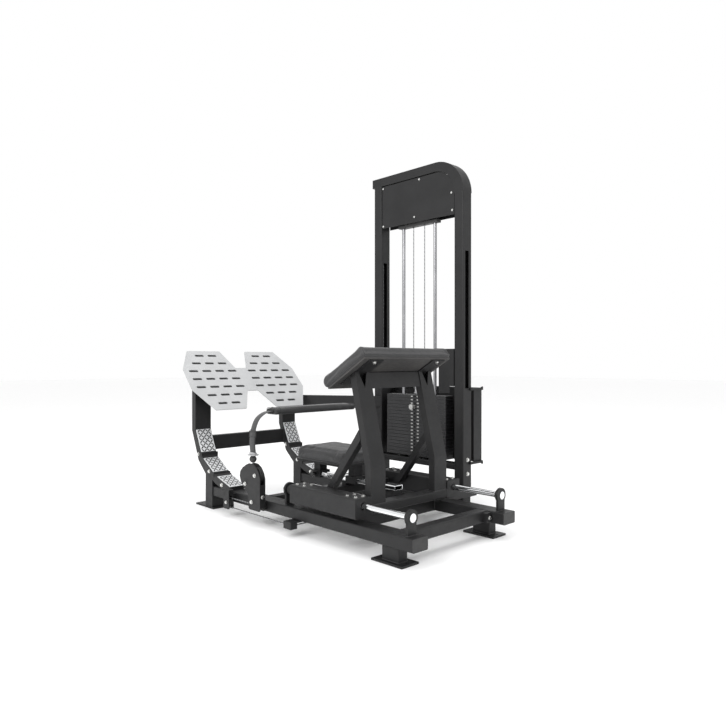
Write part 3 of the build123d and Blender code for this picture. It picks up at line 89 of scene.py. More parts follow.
# ---- finishes -------------------------------------------------------------------------------
class Finish:
    """A procedural material round one Principled shader."""

    def __init__(self, name, metallic=0.0, specular=0.5, coat=0.0, sheen=0.0):
        self.material = bpy.data.materials.new(name)
        self.material.use_nodes = True
        self.tree = self.material.node_tree
        self.shader = self.tree.nodes["Principled BSDF"]
        for socket, value in (("Metallic", metallic), ("Specular IOR Level", specular),
                              ("Coat Weight", coat), ("Coat Roughness", 0.25),
                              ("Sheen Weight", sheen), ("Sheen Roughness", 0.6)):
            self.shader.inputs[socket].default_value = value
        self.place = self.node("ShaderNodeTexCoord").outputs["Object"]

    def node(self, kind, **settings):
        made = self.tree.nodes.new(kind)
        for key, value in settings.items():
            setattr(made, key, value)
        return made

    def link(self, source, target):
        self.tree.links.new(source, target)

    def stretched(self, scale):
        """Object coordinates scaled differently along each axis."""
        mapping = self.node("ShaderNodeMapping")
        mapping.inputs["Scale"].default_value = scale
        self.link(self.place, mapping.inputs["Vector"])
        return mapping.outputs["Vector"]

    def noise(self, scale, detail=3.0, vector=None, rough=0.5):
        made = self.node("ShaderNodeTexNoise")
        made.inputs["Scale"].default_value = scale
        made.inputs["Detail"].default_value = detail
        made.inputs["Roughness"].default_value = rough
        self.link(vector or self.place, made.inputs["Vector"])
        return made.outputs["Fac"]

    def ranged(self, value, low, high, out_low=0.0, out_high=1.0):
        made = self.node("ShaderNodeMapRange")
        for socket, number in zip(("From Min", "From Max", "To Min", "To Max"),
                                  (low, high, out_low, out_high)):
            made.inputs[socket].default_value = number
        self.link(value, made.inputs["Value"])
        return made.outputs["Result"]

    def math(self, operation, a, b):
        made = self.node("ShaderNodeMath", operation=operation)
        for socket, value in zip(made.inputs, (a, b)):
            if isinstance(value, float):
                socket.default_value = value
            else:
                self.link(value, socket)
        return made.outputs["Value"]

    def mixed(self, share, a, b):
        """Colour a where share is 0 and b where it is 1."""
        made = self.node("ShaderNodeMix", data_type="RGBA")
        self.link(share, made.inputs["Factor"])
        for socket, value in zip((made.inputs["A"], made.inputs["B"]), (a, b)):
            if isinstance(value, tuple):
                socket.default_value = (*value, 1.0)
            else:
                self.link(value, socket)
        return made.outputs["Result"]

    def rounded_edges(self, radius):
        """A normal that rounds sharp edges, and a mask that is 1 along them."""
        bevel = self.node("ShaderNodeBevel", samples=3)
        bevel.inputs["Radius"].default_value = radius
        geometry = self.node("ShaderNodeNewGeometry")
        dot = self.node("ShaderNodeVectorMath", operation="DOT_PRODUCT")
        self.link(bevel.outputs["Normal"], dot.inputs[0])
        self.link(geometry.outputs["Normal"], dot.inputs[1])
        return bevel.outputs["Normal"], self.ranged(dot.outputs["Value"], 0.97, 0.80)

    def bump(self, height, strength, distance, normal=None):
        made = self.node("ShaderNodeBump")
        made.inputs["Strength"].default_value = strength
        made.inputs["Distance"].default_value = distance
        self.link(height, made.inputs["Height"])
        if normal:
            self.link(normal, made.inputs["Normal"])
        return made.outputs["Normal"]

    def show(self, colour, roughness, normal):
        for value, socket in ((colour, "Base Color"), (roughness, "Roughness"), (normal, "Normal")):
            self.link(value, self.shader.inputs[socket])
        return self.material


def coated(name, colour, second, roughness, grain, depth, edge=None, radius=0.0012, stretch=None,
           **shader):
    """Paint, plastic, rubber or plain metal: patchy colour, grain, and wear along the edges."""
    made = Finish(name, **shader)
    vector = made.stretched(stretch) if stretch else None
    tone = made.mixed(made.ranged(made.noise(7.0, 5.0), 0.3, 0.7), colour, second)
    fine = made.noise(grain, 2.0, vector)
    rough = made.ranged(made.noise(38.0, 4.0, vector), 0.25, 0.75, *roughness)
    normal = None
    if edge:
        normal, mask = made.rounded_edges(radius)
        scuffed = made.math("MULTIPLY", mask, made.ranged(made.noise(60.0, 5.0), 0.42, 0.62))
        tone = made.mixed(scuffed, tone, edge)
    return made.show(tone, rough, made.bump(fine, 0.35, depth, normal))


def grained_vinyl(name):
    """Upholstery vinyl: leather pebbles, fine creases with painted shade in them, and a soft sheen.
    """
    made = Finish(name, specular=0.42, sheen=0.08)
    warp = made.node("ShaderNodeVectorMath", operation="MULTIPLY_ADD")
    made.link(made.noise(55.0, 3.0), warp.inputs[0])
    warp.inputs[1].default_value = (0.006, 0.006, 0.006)
    made.link(made.place, warp.inputs[2])
    pebbles = made.node("ShaderNodeTexVoronoi", feature="DISTANCE_TO_EDGE")
    pebbles.inputs["Scale"].default_value = 420.0
    made.link(warp.outputs["Vector"], pebbles.inputs["Vector"])
    creases = made.ranged(pebbles.outputs["Distance"], 0.0, 0.22)
    tone = made.mixed(made.ranged(made.noise(9.0, 5.0), 0.3, 0.7),
                      (0.016, 0.016, 0.017), (0.030, 0.030, 0.031))
    # painted shade: the creases between the pebbles are coloured darker than the vinyl
    tone = made.mixed(creases, (0.009, 0.009, 0.010), tone)
    soft = made.bump(made.noise(34.0, 3.0), 0.25, 0.0016)
    rough = made.ranged(made.noise(24.0, 4.0), 0.25, 0.75, 0.40, 0.56)
    return made.show(tone, rough, made.bump(creases, 0.45, 0.00035, soft))


def woven(name):
    """Nylon webbing: ribs across the strap and yarns along it, from the strap's own UV map, with
    painted shade between the yarns.
    """
    made = Finish(name, specular=0.35, sheen=0.2)
    uv = made.node("ShaderNodeTexCoord").outputs["UV"]
    heights = []
    for direction, pitch in (("X", 0.0022), ("Y", 0.0014)):
        wave = made.node("ShaderNodeTexWave", wave_type="BANDS", bands_direction=direction)
        wave.inputs["Scale"].default_value = 1 / pitch / 20
        wave.inputs["Distortion"].default_value = 0.35
        wave.inputs["Detail Scale"].default_value = 3.0
        made.link(uv, wave.inputs["Vector"])
        heights.append(wave.outputs["Fac"])
    yarn = made.math("MULTIPLY", *heights)
    # painted shade: the grooves between the yarns are coloured darker than the yarns' tops
    tone = made.mixed(yarn, (0.014, 0.014, 0.015), (0.045, 0.045, 0.047))
    rough = made.ranged(made.noise(120.0, 3.0), 0.3, 0.7, 0.62, 0.82)
    return made.show(tone, rough, made.bump(yarn, 0.6, 0.0005))


def stranded(name):
    """Steel cable: bright strands laid at a slant, with painted shade as dark gaps between them."""
    made = Finish(name, metallic=0.9)
    wave = made.node("ShaderNodeTexWave", wave_type="BANDS", bands_direction="DIAGONAL")
    wave.inputs["Scale"].default_value = 24.0
    wave.inputs["Distortion"].default_value = 0.3
    made.link(made.place, wave.inputs["Vector"])
    strand = made.ranged(wave.outputs["Fac"], 0.08, 0.6)
    # painted shade: the gaps between the strands are coloured darker than the strands
    tone = made.mixed(strand, (0.10, 0.10, 0.105), (0.26, 0.265, 0.27))
    rough = made.ranged(made.noise(90.0, 3.0), 0.3, 0.7, 0.26, 0.42)
    return made.show(tone, rough, made.bump(strand, 0.5, 0.0005))


GREY = (0.055, 0.055, 0.058)
FINISHES = {
    "frame_paint": coated("powder_coat", (0.0085, 0.0085, 0.009), (0.014, 0.014, 0.0145),
                          (0.38, 0.54), 900.0, 0.0004, edge=GREY, specular=0.30),
    "light_paint": coated("light_powder_coat", (0.40, 0.405, 0.41), (0.46, 0.465, 0.47),
                          (0.42, 0.56), 700.0, 0.0003, edge=(0.12, 0.12, 0.125), specular=0.3),
    "tread_metal": coated("tread_sheet", (0.62, 0.63, 0.64), (0.78, 0.79, 0.80), (0.36, 0.52),
                          260.0, 0.0002, stretch=(1.0, 9.0, 1.0), metallic=0.45),
    "chrome": coated("chrome_plate", (0.80, 0.81, 0.82), (0.88, 0.89, 0.90), (0.05, 0.14),
                     420.0, 0.00006, stretch=(0.2, 1.0, 1.0), metallic=1.0),
    "weight_iron": coated("black_enamel", (0.010, 0.010, 0.011), (0.017, 0.017, 0.018),
                          (0.30, 0.46), 520.0, 0.0004, edge=(0.07, 0.07, 0.072)),
    "steel": coated("turned_steel", (0.42, 0.42, 0.43), (0.56, 0.56, 0.57), (0.22, 0.38),
                    600.0, 0.0002, stretch=(1.0, 8.0, 1.0), metallic=0.95),
    "cable_steel": stranded("steel_cable"),
    "black_plastic": coated("moulded_plastic", (0.013, 0.013, 0.013), (0.020, 0.020, 0.020),
                            (0.42, 0.60), 650.0, 0.0003, edge=(0.05, 0.05, 0.05)),
    "rubber": coated("rubber", (0.010, 0.010, 0.010), (0.018, 0.018, 0.017), (0.72, 0.90),
                     480.0, 0.0005),
    "vinyl": grained_vinyl("upholstery_vinyl"),
    "webbing": woven("webbing"),
    "board": coated("painted_plywood", (0.026, 0.025, 0.025), (0.045, 0.043, 0.041),
                    (0.50, 0.70), 160.0, 0.0006, edge=(0.12, 0.115, 0.11),
                    stretch=(1.0, 1.0, 6.0)),
    "zinc": coated("zinc_plate", (0.60, 0.60, 0.59), (0.74, 0.74, 0.72), (0.18, 0.34),
                   800.0, 0.0001, edge=(0.85, 0.85, 0.84), radius=0.0006, metallic=0.95),
    "knob_plastic": coated("gloss_knob", (0.012, 0.012, 0.012), (0.018, 0.018, 0.018),
                           (0.14, 0.26), 500.0, 0.0001, coat=0.4),
}
THREAD = coated("sewing_thread", (0.035, 0.035, 0.036), (0.060, 0.060, 0.062), (0.55, 0.75),
                1500.0, 0.0002)
LABEL = coated("label_print", (0.40, 0.40, 0.39), (0.48, 0.48, 0.47), (0.35, 0.50), 500.0, 0.0001)
GUIDE = coated("ground_steel", (0.24, 0.24, 0.25), (0.34, 0.34, 0.35), (0.24, 0.38), 500.0, 0.0001,
               stretch=(1.0, 1.0, 0.2), metallic=0.95)
WELD = coated("painted_weld", (0.016, 0.016, 0.017), (0.024, 0.024, 0.025), (0.32, 0.48),
              700.0, 0.0004)
# painted shade: the treads' raised lenses are near black, standing for the dark pattern they make
# on the bright sheet, though they are the same metal
LENS = coated("tread_lens", (0.014, 0.014, 0.015), (0.034, 0.034, 0.035), (0.30, 0.45),
              600.0, 0.0003, metallic=0.3)

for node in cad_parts.values():
    for material_slot in node.material_slots:
        material_slot.material = FINISHES[material_slot.material.name.split(".")[0]]
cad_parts["stack_guide_rods"].material_slots[0].material = GUIDE


# ---- mesh helpers -----------------------------------------------------------------------------
def add_piece(name, mesh, material, body, smooth=True, replaces=()):
    """A mesh or bmesh as a named piece that rides on a CAD body."""
    if isinstance(mesh, bmesh.types.BMesh):
        bmesh.ops.recalc_face_normals(mesh, faces=mesh.faces)
        made = bpy.data.meshes.new(name)
        mesh.to_mesh(made)
        mesh.free()
        mesh = made
    mesh.materials.clear()
    mesh.materials.append(material)
    mesh.shade_smooth() if smooth else mesh.shade_flat()
    piece = bpy.data.objects.new(name, mesh)
    bpy.context.scene.collection.objects.link(piece)
    if body:
        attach(piece, body)
    if replaces:
        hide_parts(*replaces)
    return piece


def circle(radius, sides=10, turn=0.0):
    """A round section for sweep."""
    angles = [turn + 2 * math.pi * i / sides for i in range(sides)]
    return [(radius * math.cos(a), radius * math.sin(a)) for a in angles]


def sweep(form, points, across, section, closed=False, uv=False):
    """Skins the section's rings along the points; across is a direction that stays off the line."""
    count, rings, run = len(points), [], [0.0]
    for i, point in enumerate(points):
        ahead = points[(i + 1) % count] if closed or i + 1 < count else point
        behind = points[i - 1] if closed or i else point
        tangent = (ahead - behind).normalized()
        side = (across - across.dot(tangent) * tangent).normalized()
        normal = tangent.cross(side)
        rings.append([form.verts.new(point + a * side + b * normal) for a, b in section(i)])
        run.append(run[-1] + (ahead - point).length)
    layer = form.loops.layers.uv.verify() if uv else None
    for i in range(count if closed else count - 1):
        low, high = rings[i], rings[(i + 1) % count]
        sides = len(low)
        flat = section(i)
        for k in range(sides):
            nxt = (k + 1) % sides
            face = form.faces.new((low[k], low[nxt], high[nxt], high[k]))
            if layer:
                for loop, (u, v) in zip(face.loops, ((flat[k][0], run[i]), (flat[nxt][0], run[i]),
                                                     (flat[nxt][0], run[i + 1]),
                                                     (flat[k][0], run[i + 1]))):
                    loop[layer].uv = (u, v)
    if not closed:
        form.faces.new(list(reversed(rings[0])))
        form.faces.new(rings[-1])
    return form


def evenly(points, step, closed=False):
    """The same line with points a fixed step apart."""
    line = list(points) + ([points[0]] if closed else [])
    total = sum((b - a).length for a, b in zip(line, line[1:]))
    count = max(3, round(total / step))
    spacing, made, travelled, target = total / count, [], 0.0, 0.0
    for a, b in zip(line, line[1:]):
        length = (b - a).length
        while target <= travelled + length + 1e-9 and len(made) < count + 1:
            made.append(a.lerp(b, (target - travelled) / length if length else 0.0))
            target += spacing
        travelled += length
    return made[:count] if closed else made


def smooth_line(points, step):
    """A Catmull-Rom curve through the points, with a fixed spacing."""
    ends = [2 * points[0] - points[1], *points, 2 * points[-1] - points[-2]]
    made = []
    for a, b, c, d in zip(ends, ends[1:], ends[2:], ends[3:]):
        for i in range(16):
            t = i / 16
            made.append(0.5 * (2 * b + (c - a) * t + (2 * a - 5 * b + 4 * c - d) * t * t
                               + (3 * b - a - 3 * c + d) * t ** 3))
    return evenly(made + [points[-1]], step)


def rounded_loop(half_a, half_b, corner, steps=8):
    """A rounded rectangle as (a, b) points."""
    made = []
    for quarter, (sa, sb) in enumerate(((1, 1), (-1, 1), (-1, -1), (1, -1))):
        for i in range(steps + 1):
            angle = (quarter + i / steps) * math.pi / 2
            out = (math.cos(angle), math.sin(angle))
            made.append((sa * (half_a - corner) + corner * out[0],
                         sb * (half_b - corner) + corner * out[1]))
    return made


# ---- treads -----------------------------------------------------------------------------------
LENS_L, LENS_W, LENS_H, LENS_PITCH = 0.0125, 0.0042, 0.0014, 0.0185


def tread_sheet(form, middle, along, normal, half_l, half_w):
    """A thin sheet with rounded corners and a broken edge."""
    rings = []
    for inset, height in ((0.0, 0.0), (0.0, TREAD_T - 0.0006), (0.0006, TREAD_T)):
        outline = rounded_loop(half_l - inset, half_w - inset, 0.003)
        rings.append([form.verts.new(middle + a * along + b * Y + height * normal)
                      for a, b in outline])
    for low, high in zip(rings, rings[1:]):
        for k in range(len(low)):
            nxt = (k + 1) % len(low)
            form.faces.new((low[k], low[nxt], high[nxt], high[k]))
    form.faces.new(rings[-1])
    form.faces.new(list(reversed(rings[0])))


def lens(form, centre, direction, normal):
    """One raised lens of a chequer plate: pointed ends and a domed back."""
    side = normal.cross(direction)
    rim, shoulder = [], []
    for ring, grow, height in ((rim, 1.0, 0.0), (shoulder, 0.62, LENS_H)):
        for i in range(12):
            angle = 2 * math.pi * i / 12
            a = LENS_L * math.cos(angle)
            b = LENS_W * math.sin(angle) * (1 - 0.25 * abs(math.cos(angle)))
            ring.append(form.verts.new(centre + grow * (a * direction + b * side)
                                       + height * normal))
    for k in range(12):
        nxt = (k + 1) % 12
        form.faces.new((rim[k], rim[nxt], shoulder[nxt], shoulder[k]))
    form.faces.new(shoulder)
    form.faces.new(list(reversed(rim)))


def make_treads():
    sheets, lenses = bmesh.new(), bmesh.new()
    for rail_y in (NEAR_Y, FAR_Y):
        for (x0, z0), (x1, z1) in FACETS:
            low, high = Vector((x0, rail_y, z0)), Vector((x1, rail_y, z1))
            along = (high - low).normalized()
            normal = along.cross(Y).normalized()
            if normal.z < 0:
                normal = -normal
            half_l = (high - low).length / 2 - 0.003
            middle = (low + high) / 2
            tread_sheet(sheets, middle, along, normal, half_l, TREAD_HALF_W)
            rows = int((half_l - 0.010) / LENS_PITCH * 2)
            columns = int((TREAD_HALF_W - 0.008) / LENS_PITCH * 2)
            for row in range(rows + 1):
                for column in range(columns + 1):
                    a = (row - rows / 2) * LENS_PITCH
                    b = (column - columns / 2) * LENS_PITCH
                    turn = 1 if (row + column) % 2 else -1
                    direction = (along + turn * Y).normalized()
                    lens(lenses, middle + a * along + b * Y + TREAD_T * normal, direction, normal)
    add_piece("tread_sheets", sheets, FINISHES["tread_metal"], "root",
              smooth=False, replaces=("tread_plates",))
    # the lenses take the tread_lens finish, whose near-black colour is painted shade
    add_piece("tread_lenses", lenses, LENS, "root", smooth=False)


make_treads()


# ---- weight stack ------------------------------------------------------------------------------
LABEL_HALF, LABEL_T = (0.0078, 0.0038), 0.0006
LABEL_OFFSET = 0.026
DIGIT_SIZE, DIGIT_T = 0.0064, 0.00015
WEIGHT_STEP, POUNDS_PER_KILO = 5, 2.2


def text_mesh(text, size):
    """Flat lettering as a mesh, centred on its origin, in its own XY plane."""
    curve = bpy.data.curves.new("text", "FONT")
    curve.body, curve.size, curve.extrude = text, size, DIGIT_T
    curve.align_x, curve.align_y = "CENTER", "CENTER"
    curve.resolution_u = 2
    holder = bpy.data.objects.new("text", curve)
    bpy.context.scene.collection.objects.link(holder)
    bpy.context.view_layer.update()
    mesh = bpy.data.meshes.new_from_object(holder.evaluated_get(
        bpy.context.evaluated_depsgraph_get()))
    bpy.data.objects.remove(holder)
    return mesh


def make_stack_labels():
    """A numbered label on each side of every plate's pin hole."""
    lifted_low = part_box("lifted_weight_plates")[0].z
    stack_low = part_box("fixed_weight_plates")[0].z
    for body, lifted in (("root", False), ("lifted_stack", True)):
        cards, digits = bmesh.new(), bmesh.new()
        for index in range(PLATE_COUNT):
            z = stack_low + index * PLATE_PITCH + PLATE_H / 2
            if (z > lifted_low) != lifted:
                continue
            weight = WEIGHT_STEP * (PLATE_COUNT - index)
            for side, number in ((-1, weight), (1, round(weight * POUNDS_PER_KILO))):
                centre = Vector((STACK_X + side * LABEL_OFFSET, FRONT_Y, z))
                rings = [[cards.verts.new(centre + a * X + b * Z - depth * Y)
                          for a, b in rounded_loop(*LABEL_HALF, 0.0012, 3)]
                         for depth in (-0.0002, LABEL_T)]
                for k in range(len(rings[0])):
                    nxt = (k + 1) % len(rings[0])
                    cards.faces.new((rings[0][k], rings[0][nxt], rings[1][nxt], rings[1][k]))
                for ring in rings:
                    cards.faces.new(ring)
                printed = text_mesh(str(number), DIGIT_SIZE)
                for vertex in printed.vertices:
                    a, b, c = vertex.co
                    vertex.co = centre + a * X + b * Z - (LABEL_T + 0.0001 + c) * Y
                digits.from_mesh(printed)
                bpy.data.meshes.remove(printed)
        add_piece(f"{body}_plate_labels", cards, LABEL, body, smooth=False)
        add_piece(f"{body}_plate_numbers", digits, FINISHES["weight_iron"], body,
                  smooth=False)


make_stack_labels()


# ---- the stack's cable ----------------------------------------------------------------------
STRANDS, CABLE_R, LAY_LENGTH = 6, 0.0030, 0.040


def strand_section(distance):
    """A six-strand section, turned by how far along the cable it lies."""
    turn = 2 * math.pi * distance / LAY_LENGTH
    made = []
    for i in range(STRANDS * 4):
        angle = 2 * math.pi * i / (STRANDS * 4)
        radius = CABLE_R * (0.86 + 0.14 * abs(math.cos(STRANDS * angle / 2)))
        made.append((radius * math.cos(angle + turn), radius * math.sin(angle + turn)))
    return made


def make_stack_cable():
    """The two runs above the stack, which on the machine shorten as it rises; here they are
    straight over the CAD node's height.
    """
    low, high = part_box("stack_cable")
    form, step = bmesh.new(), LAY_LENGTH / 12
    for x in (low.x + CABLE_R, high.x - CABLE_R):
        line = evenly([Vector((x, STACK_Y, low.z)), Vector((x, STACK_Y, high.z))], step)
        sweep(form, line, X, lambda i: strand_section(i * step))
    cable = add_piece("stack_cable_runs", form, FINISHES["cable_steel"], "root",
                      replaces=("stack_cable",))
    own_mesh(cable)


make_stack_cable()


# ---- welds ------------------------------------------------------------------------------------
WELD_R = 0.0028
TUBE_CORNER, PLATE_CORNER = 0.007, 0.002

# cross beams against the rails: X and width; the tower's base beams: X and half width
CROSS_BEAMS = ((0.890, 0.064), (0.525, 0.100), (-0.137, 0.060))
TOWER_BEAMS_X, TOWER_BEAM_HALF_W = (-0.328, 0.431), 0.060
# posts on their foot plates: X, Y and half sizes
FEET_TOP = 0.010
FEET = ((0.8685, NEAR_Y, 0.053, 0.030), (0.8685, FAR_Y, 0.053, 0.030),
        (-0.300, STACK_Y, 0.032, 0.040), (0.403, STACK_Y, 0.032, 0.040))
# beams between the foot frames: X, Z and half sizes
FOOT_BEAMS = ((-0.820, 0.378, 0.023, 0.046), (-0.836, 0.723, 0.0215, 0.017))
RING_FOOT_HALF = (0.007, 0.028)
# the carriage's cross beams between its bearing boxes: X and half width
BOX_HALF_W = 0.053
CARRIAGE_BEAMS = ((0.626, 0.040), (0.194, 0.030))
CARRIAGE_BEAM_Z, CARRIAGE_BEAM_HALF_H = 0.1875, 0.0225
# the feet of the two posts under the back pad
POST_X, POST_OUT, POST_FOOT_Z, POST_HALF = 0.641, 0.236, 0.210, (0.020, 0.050)


def weld(form, centre, a_axis, b_axis, half_a, half_b, corner):
    """A rippled bead round the foot of a tube."""
    outline = [centre + a * a_axis + b * b_axis
               for a, b in rounded_loop(half_a, half_b, corner, 5)]
    line = evenly(outline, 0.0022, closed=True)
    sweep(form, line, a_axis.cross(b_axis),
          lambda i: circle(WELD_R * (1 + 0.16 * math.sin(i * 2.1)), 7), closed=True)


def make_welds():
    """Beads where the beams, posts and brackets meet, on the frame and on the carriage."""
    frame_beads, carriage_beads = bmesh.new(), bmesh.new()
    half_h = RAIL_H / 2 - 0.0015
    for x, width in CROSS_BEAMS:
        for y in (NEAR_Y + RAIL_HALF_W, FAR_Y - RAIL_HALF_W):
            weld(frame_beads, Vector((x, y, RAIL_Z)), X, Z, width / 2, half_h, TUBE_CORNER)
    for x in TOWER_BEAMS_X:
        weld(frame_beads, Vector((x, FAR_Y + RAIL_HALF_W, RAIL_Z)), X, Z, TOWER_BEAM_HALF_W,
             half_h, TUBE_CORNER)
    for x, y, half_l, half_w in FEET:
        weld(frame_beads, Vector((x, y, FEET_TOP)), X, Y, half_l, half_w, TUBE_CORNER)
    foot_low, foot_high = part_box("foot_cross_beams")
    for y in (foot_low.y, foot_high.y):
        for x, z, half_w, half_z in FOOT_BEAMS:
            weld(frame_beads, Vector((x, y, z)), X, Z, half_w, half_z, TUBE_CORNER)
    ring_low, ring_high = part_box("rod_brackets")
    for y in (NEAR_Y, FAR_Y):
        for x in (ring_low.x + RING_FOOT_HALF[0], ring_high.x - RING_FOOT_HALF[0]):
            weld(frame_beads, Vector((x, y, RAIL_TOP)), X, Y, *RING_FOOT_HALF, PLATE_CORNER)
    for y in (NEAR_Y + BOX_HALF_W, FAR_Y - BOX_HALF_W):
        for x, half_w in CARRIAGE_BEAMS:
            weld(carriage_beads, Vector((x, y, CARRIAGE_BEAM_Z)), X, Z, half_w,
                 CARRIAGE_BEAM_HALF_H, TUBE_CORNER)
    for side in (-1, 1):
        weld(carriage_beads, Vector((POST_X, MID_Y + side * POST_OUT, POST_FOOT_Z)), X, Y,
             *POST_HALF, PLATE_CORNER)
    add_piece("frame_welds", frame_beads, WELD, "root")
    add_piece("carriage_welds", carriage_beads, WELD, "carriage")


make_welds()


# ---- cushions ---------------------------------------------------------------------------------
FRAMES = 20
STITCH_PITCH, STITCH_L, STITCH_R = 0.0075, 0.0048, 0.0007
STITCH_DROP = 0.006            # the stitches run this far under the piping
FLAT_WITHIN = 0.0035           # points this near the underside are kept flat
SEAM_CLEAR, SEAM_CORNER, SEAM_REACH = 0.05, 0.09, 0.2


def remeshed(mesh, voxel):
    """The closed form as even small faces."""
    holder = bpy.data.objects.new("remesh", mesh)
    bpy.context.scene.collection.objects.link(holder)
    remesh = holder.modifiers.new("voxels", "REMESH")
    remesh.mode, remesh.voxel_size = "VOXEL", voxel
    bpy.context.view_layer.update()
    made = bpy.data.meshes.new_from_object(holder.evaluated_get(
        bpy.context.evaluated_depsgraph_get()))
    bpy.data.objects.remove(holder)
    return made


def swell(pad, held, reach, pressure):
    """Blows the form up as cloth, with the held points fixed and a cap on every movement."""
    group = pad.vertex_groups.new(name="held")
    group.add([v.index for v in pad.data.vertices if held(v.co)], 1.0, "REPLACE")
    cloth = pad.modifiers.new("swell", "CLOTH")
    settings = cloth.settings
    settings.use_pressure, settings.uniform_pressure_force = True, pressure
    settings.vertex_group_mass = "held"
    settings.effector_weights.gravity = 0.0
    settings.quality = 4
    cloth.point_cache.frame_end = FRAMES
    for number in range(1, FRAMES + 1):
        bpy.context.scene.frame_set(number)
    grown = pad.evaluated_get(bpy.context.evaluated_depsgraph_get()).data
    moved = [v.co.copy() for v in grown.vertices]
    pad.modifiers.remove(cloth)
    pad.vertex_groups.clear()
    for vertex, place in zip(pad.data.vertices, moved):
        step = place - vertex.co
        if step.length > reach:
            step *= reach / step.length
        vertex.co += step
    bpy.context.scene.frame_set(1)


def cushion(name, node, along, up, shrink, body, reach, held_depth, voxel=0.006,
            pressure=4.0, held=None):
    """A stuffed form in the space of a CAD cushion: shrunk, remeshed, swollen, then subdivided.
    shrink is how much each of the along, Y and up directions starts short of the CAD solid."""
    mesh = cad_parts[node].data.copy()
    axes = (along, Y, up)
    reaches = [[v.co.dot(axis) for v in mesh.vertices] for axis in axes]
    spans = [(min(reach_along), max(reach_along)) for reach_along in reaches]
    for vertex in mesh.vertices:
        place = Vector((0, 0, 0))
        for axis, (low, high), short in zip(axes, spans, shrink):
            value = vertex.co.dot(axis)
            anchor = low if axis is up else (low + high) / 2
            place += axis * (anchor + (value - anchor) * (1 - short / (high - low)))
        vertex.co = place
    pad = add_piece(name, remeshed(mesh, voxel), FINISHES["vinyl"], None)
    relax(pad.data, up, spans[2][0], 5)
    base = spans[2][0] + held_depth
    swell(pad, held or (lambda co: co.dot(up) < base), reach, pressure)
    relax(pad.data, up, spans[2][0], 2)
    pad.modifiers.new("fine", "SUBSURF").render_levels = 1
    pad.modifiers["fine"].levels = 1
    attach(pad, body)
    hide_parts(node)
    return pad, spans


def relax(mesh, up, base, rounds):
    """Smooths the form, and keeps its underside flat in the base plane."""
    form = bmesh.new()
    form.from_mesh(mesh)
    flat = {v.index for v in form.verts if v.co.dot(up) < base + FLAT_WITHIN}
    for _ in range(rounds):
        bmesh.ops.smooth_vert(form, verts=form.verts, factor=0.5, use_axis_x=True,
                              use_axis_y=True, use_axis_z=True)
    for vertex in form.verts:
        if vertex.index in flat:
            vertex.co += (base - vertex.co.dot(up)) * up
    form.to_mesh(mesh)
    form.free()


def seam_line(pad, centre, along, up, half_a, half_b, height, step=0.004):
    """Points round a pad's side at one height, found on its own surface."""
    form = bmesh.new()
    form.from_mesh(pad.data)
    tree = BVHTree.FromBMesh(form)
    form.free()
    found = []
    outer = [centre + a * along + b * Y + height * up
             for a, b in rounded_loop(half_a + SEAM_CLEAR, half_b + SEAM_CLEAR, SEAM_CORNER, 14)]
    outer = evenly(outer, step, closed=True)
    for i, start in enumerate(outer):
        tangent = (outer[(i + 1) % len(outer)] - outer[i - 1]).normalized()
        inward = tangent.cross(up)
        if inward.dot(centre - start) < 0:
            inward = -inward
        hit = tree.ray_cast(start, inward.normalized(), SEAM_REACH)[0]
        if hit:
            found.append(hit)
    return evenly(found, step, closed=True)


def stitches(form, line, up, lift=0.0003):
    """A row of short thread stitches along a closed line."""
    spaced = evenly(line, STITCH_PITCH, closed=True)
    for i, point in enumerate(spaced):
        tangent = (spaced[(i + 1) % len(spaced)] - spaced[i - 1]).normalized()
        out = tangent.cross(up).normalized()
        if out.dot(point - sum(spaced, Vector()) / len(spaced)) < 0:
            out = -out
        half = tangent * STITCH_L / 2
        ends = [point - half, point - half * 0.6 + out * lift, point + half * 0.6 + out * lift,
                point + half]
        sweep(form, ends, up, lambda k: circle(STITCH_R * (0.45 if k in (0, 3) else 1.0), 6))


def trim_cushion(prefix, pad, spans, along, up, body, seam_share, piping_r=0.0016):
    """A piped seam near the top and a row of stitches under it."""
    (a_low, a_high), (b_low, b_high), (u_low, u_high) = spans
    centre = along * (a_low + a_high) / 2 + Y * (b_low + b_high) / 2
    half_a, half_b = (a_high - a_low) / 2, (b_high - b_low) / 2
    height = u_low + (u_high - u_low) * seam_share
    line = seam_line(pad, centre, along, up, half_a, half_b, height)
    piping = sweep(bmesh.new(), line, up, lambda i: circle(piping_r, 8), closed=True)
    add_piece(f"{prefix}_piping", piping, FINISHES["vinyl"], body)
    lower = seam_line(pad, centre, along, up, half_a, half_b, height - STITCH_DROP)
    thread = bmesh.new()
    stitches(thread, lower, up)
    add_piece(f"{prefix}_stitching", thread, THREAD, body)


back_pad, back_spans = cushion("back_cushion", "back_pad", PAD_ALONG, PAD_UP,
                               (0.004, 0.006, 0.004), "carriage", 0.008, 0.010)
trim_cushion("back_cushion", back_pad, back_spans, PAD_ALONG, PAD_UP, "carriage", 0.16)
seat_pad, seat_spans = cushion("seat_cushion", "seat_pad", X, Z, (0.006, 0.006, 0.006),
                               "seat", 0.010, 0.010, voxel=0.005)
trim_cushion("seat_cushion", seat_pad, seat_spans, X, Z, "seat", 0.22)
cushion("belt_cushion", "hip_belt_pad", X, Z, (0.006, 0.004, 0.004), "hip_belt", 0.005, 0.0,
        voxel=0.005, pressure=3.0, held=lambda co: abs(co.y - MID_Y) > BELT_HALF_L - 0.010)


# ---- belt -------------------------------------------------------------------------------------
WEB_T, WEB_GAP = 0.0022, 0.0006
STRAP_LOW_Z = 0.390
# a strap's route upwards from its clamp: distance outwards from STRAP_Y, and Z
STRAP_LINE = ((0.0, STRAP_LOW_Z + 0.003), (0.004, 0.436), (0.003, 0.480), (-0.004, 0.530),
              (-0.026, 0.578), (-0.062, 0.606), (-0.100, 0.618))
BUCKLE_Z, BUCKLE_HALF_W, BUCKLE_BAR_PITCH = 0.500, 0.028, 0.014
BAR_R, POST_R, END_RING_R = 0.0026, 0.0034, 0.0028


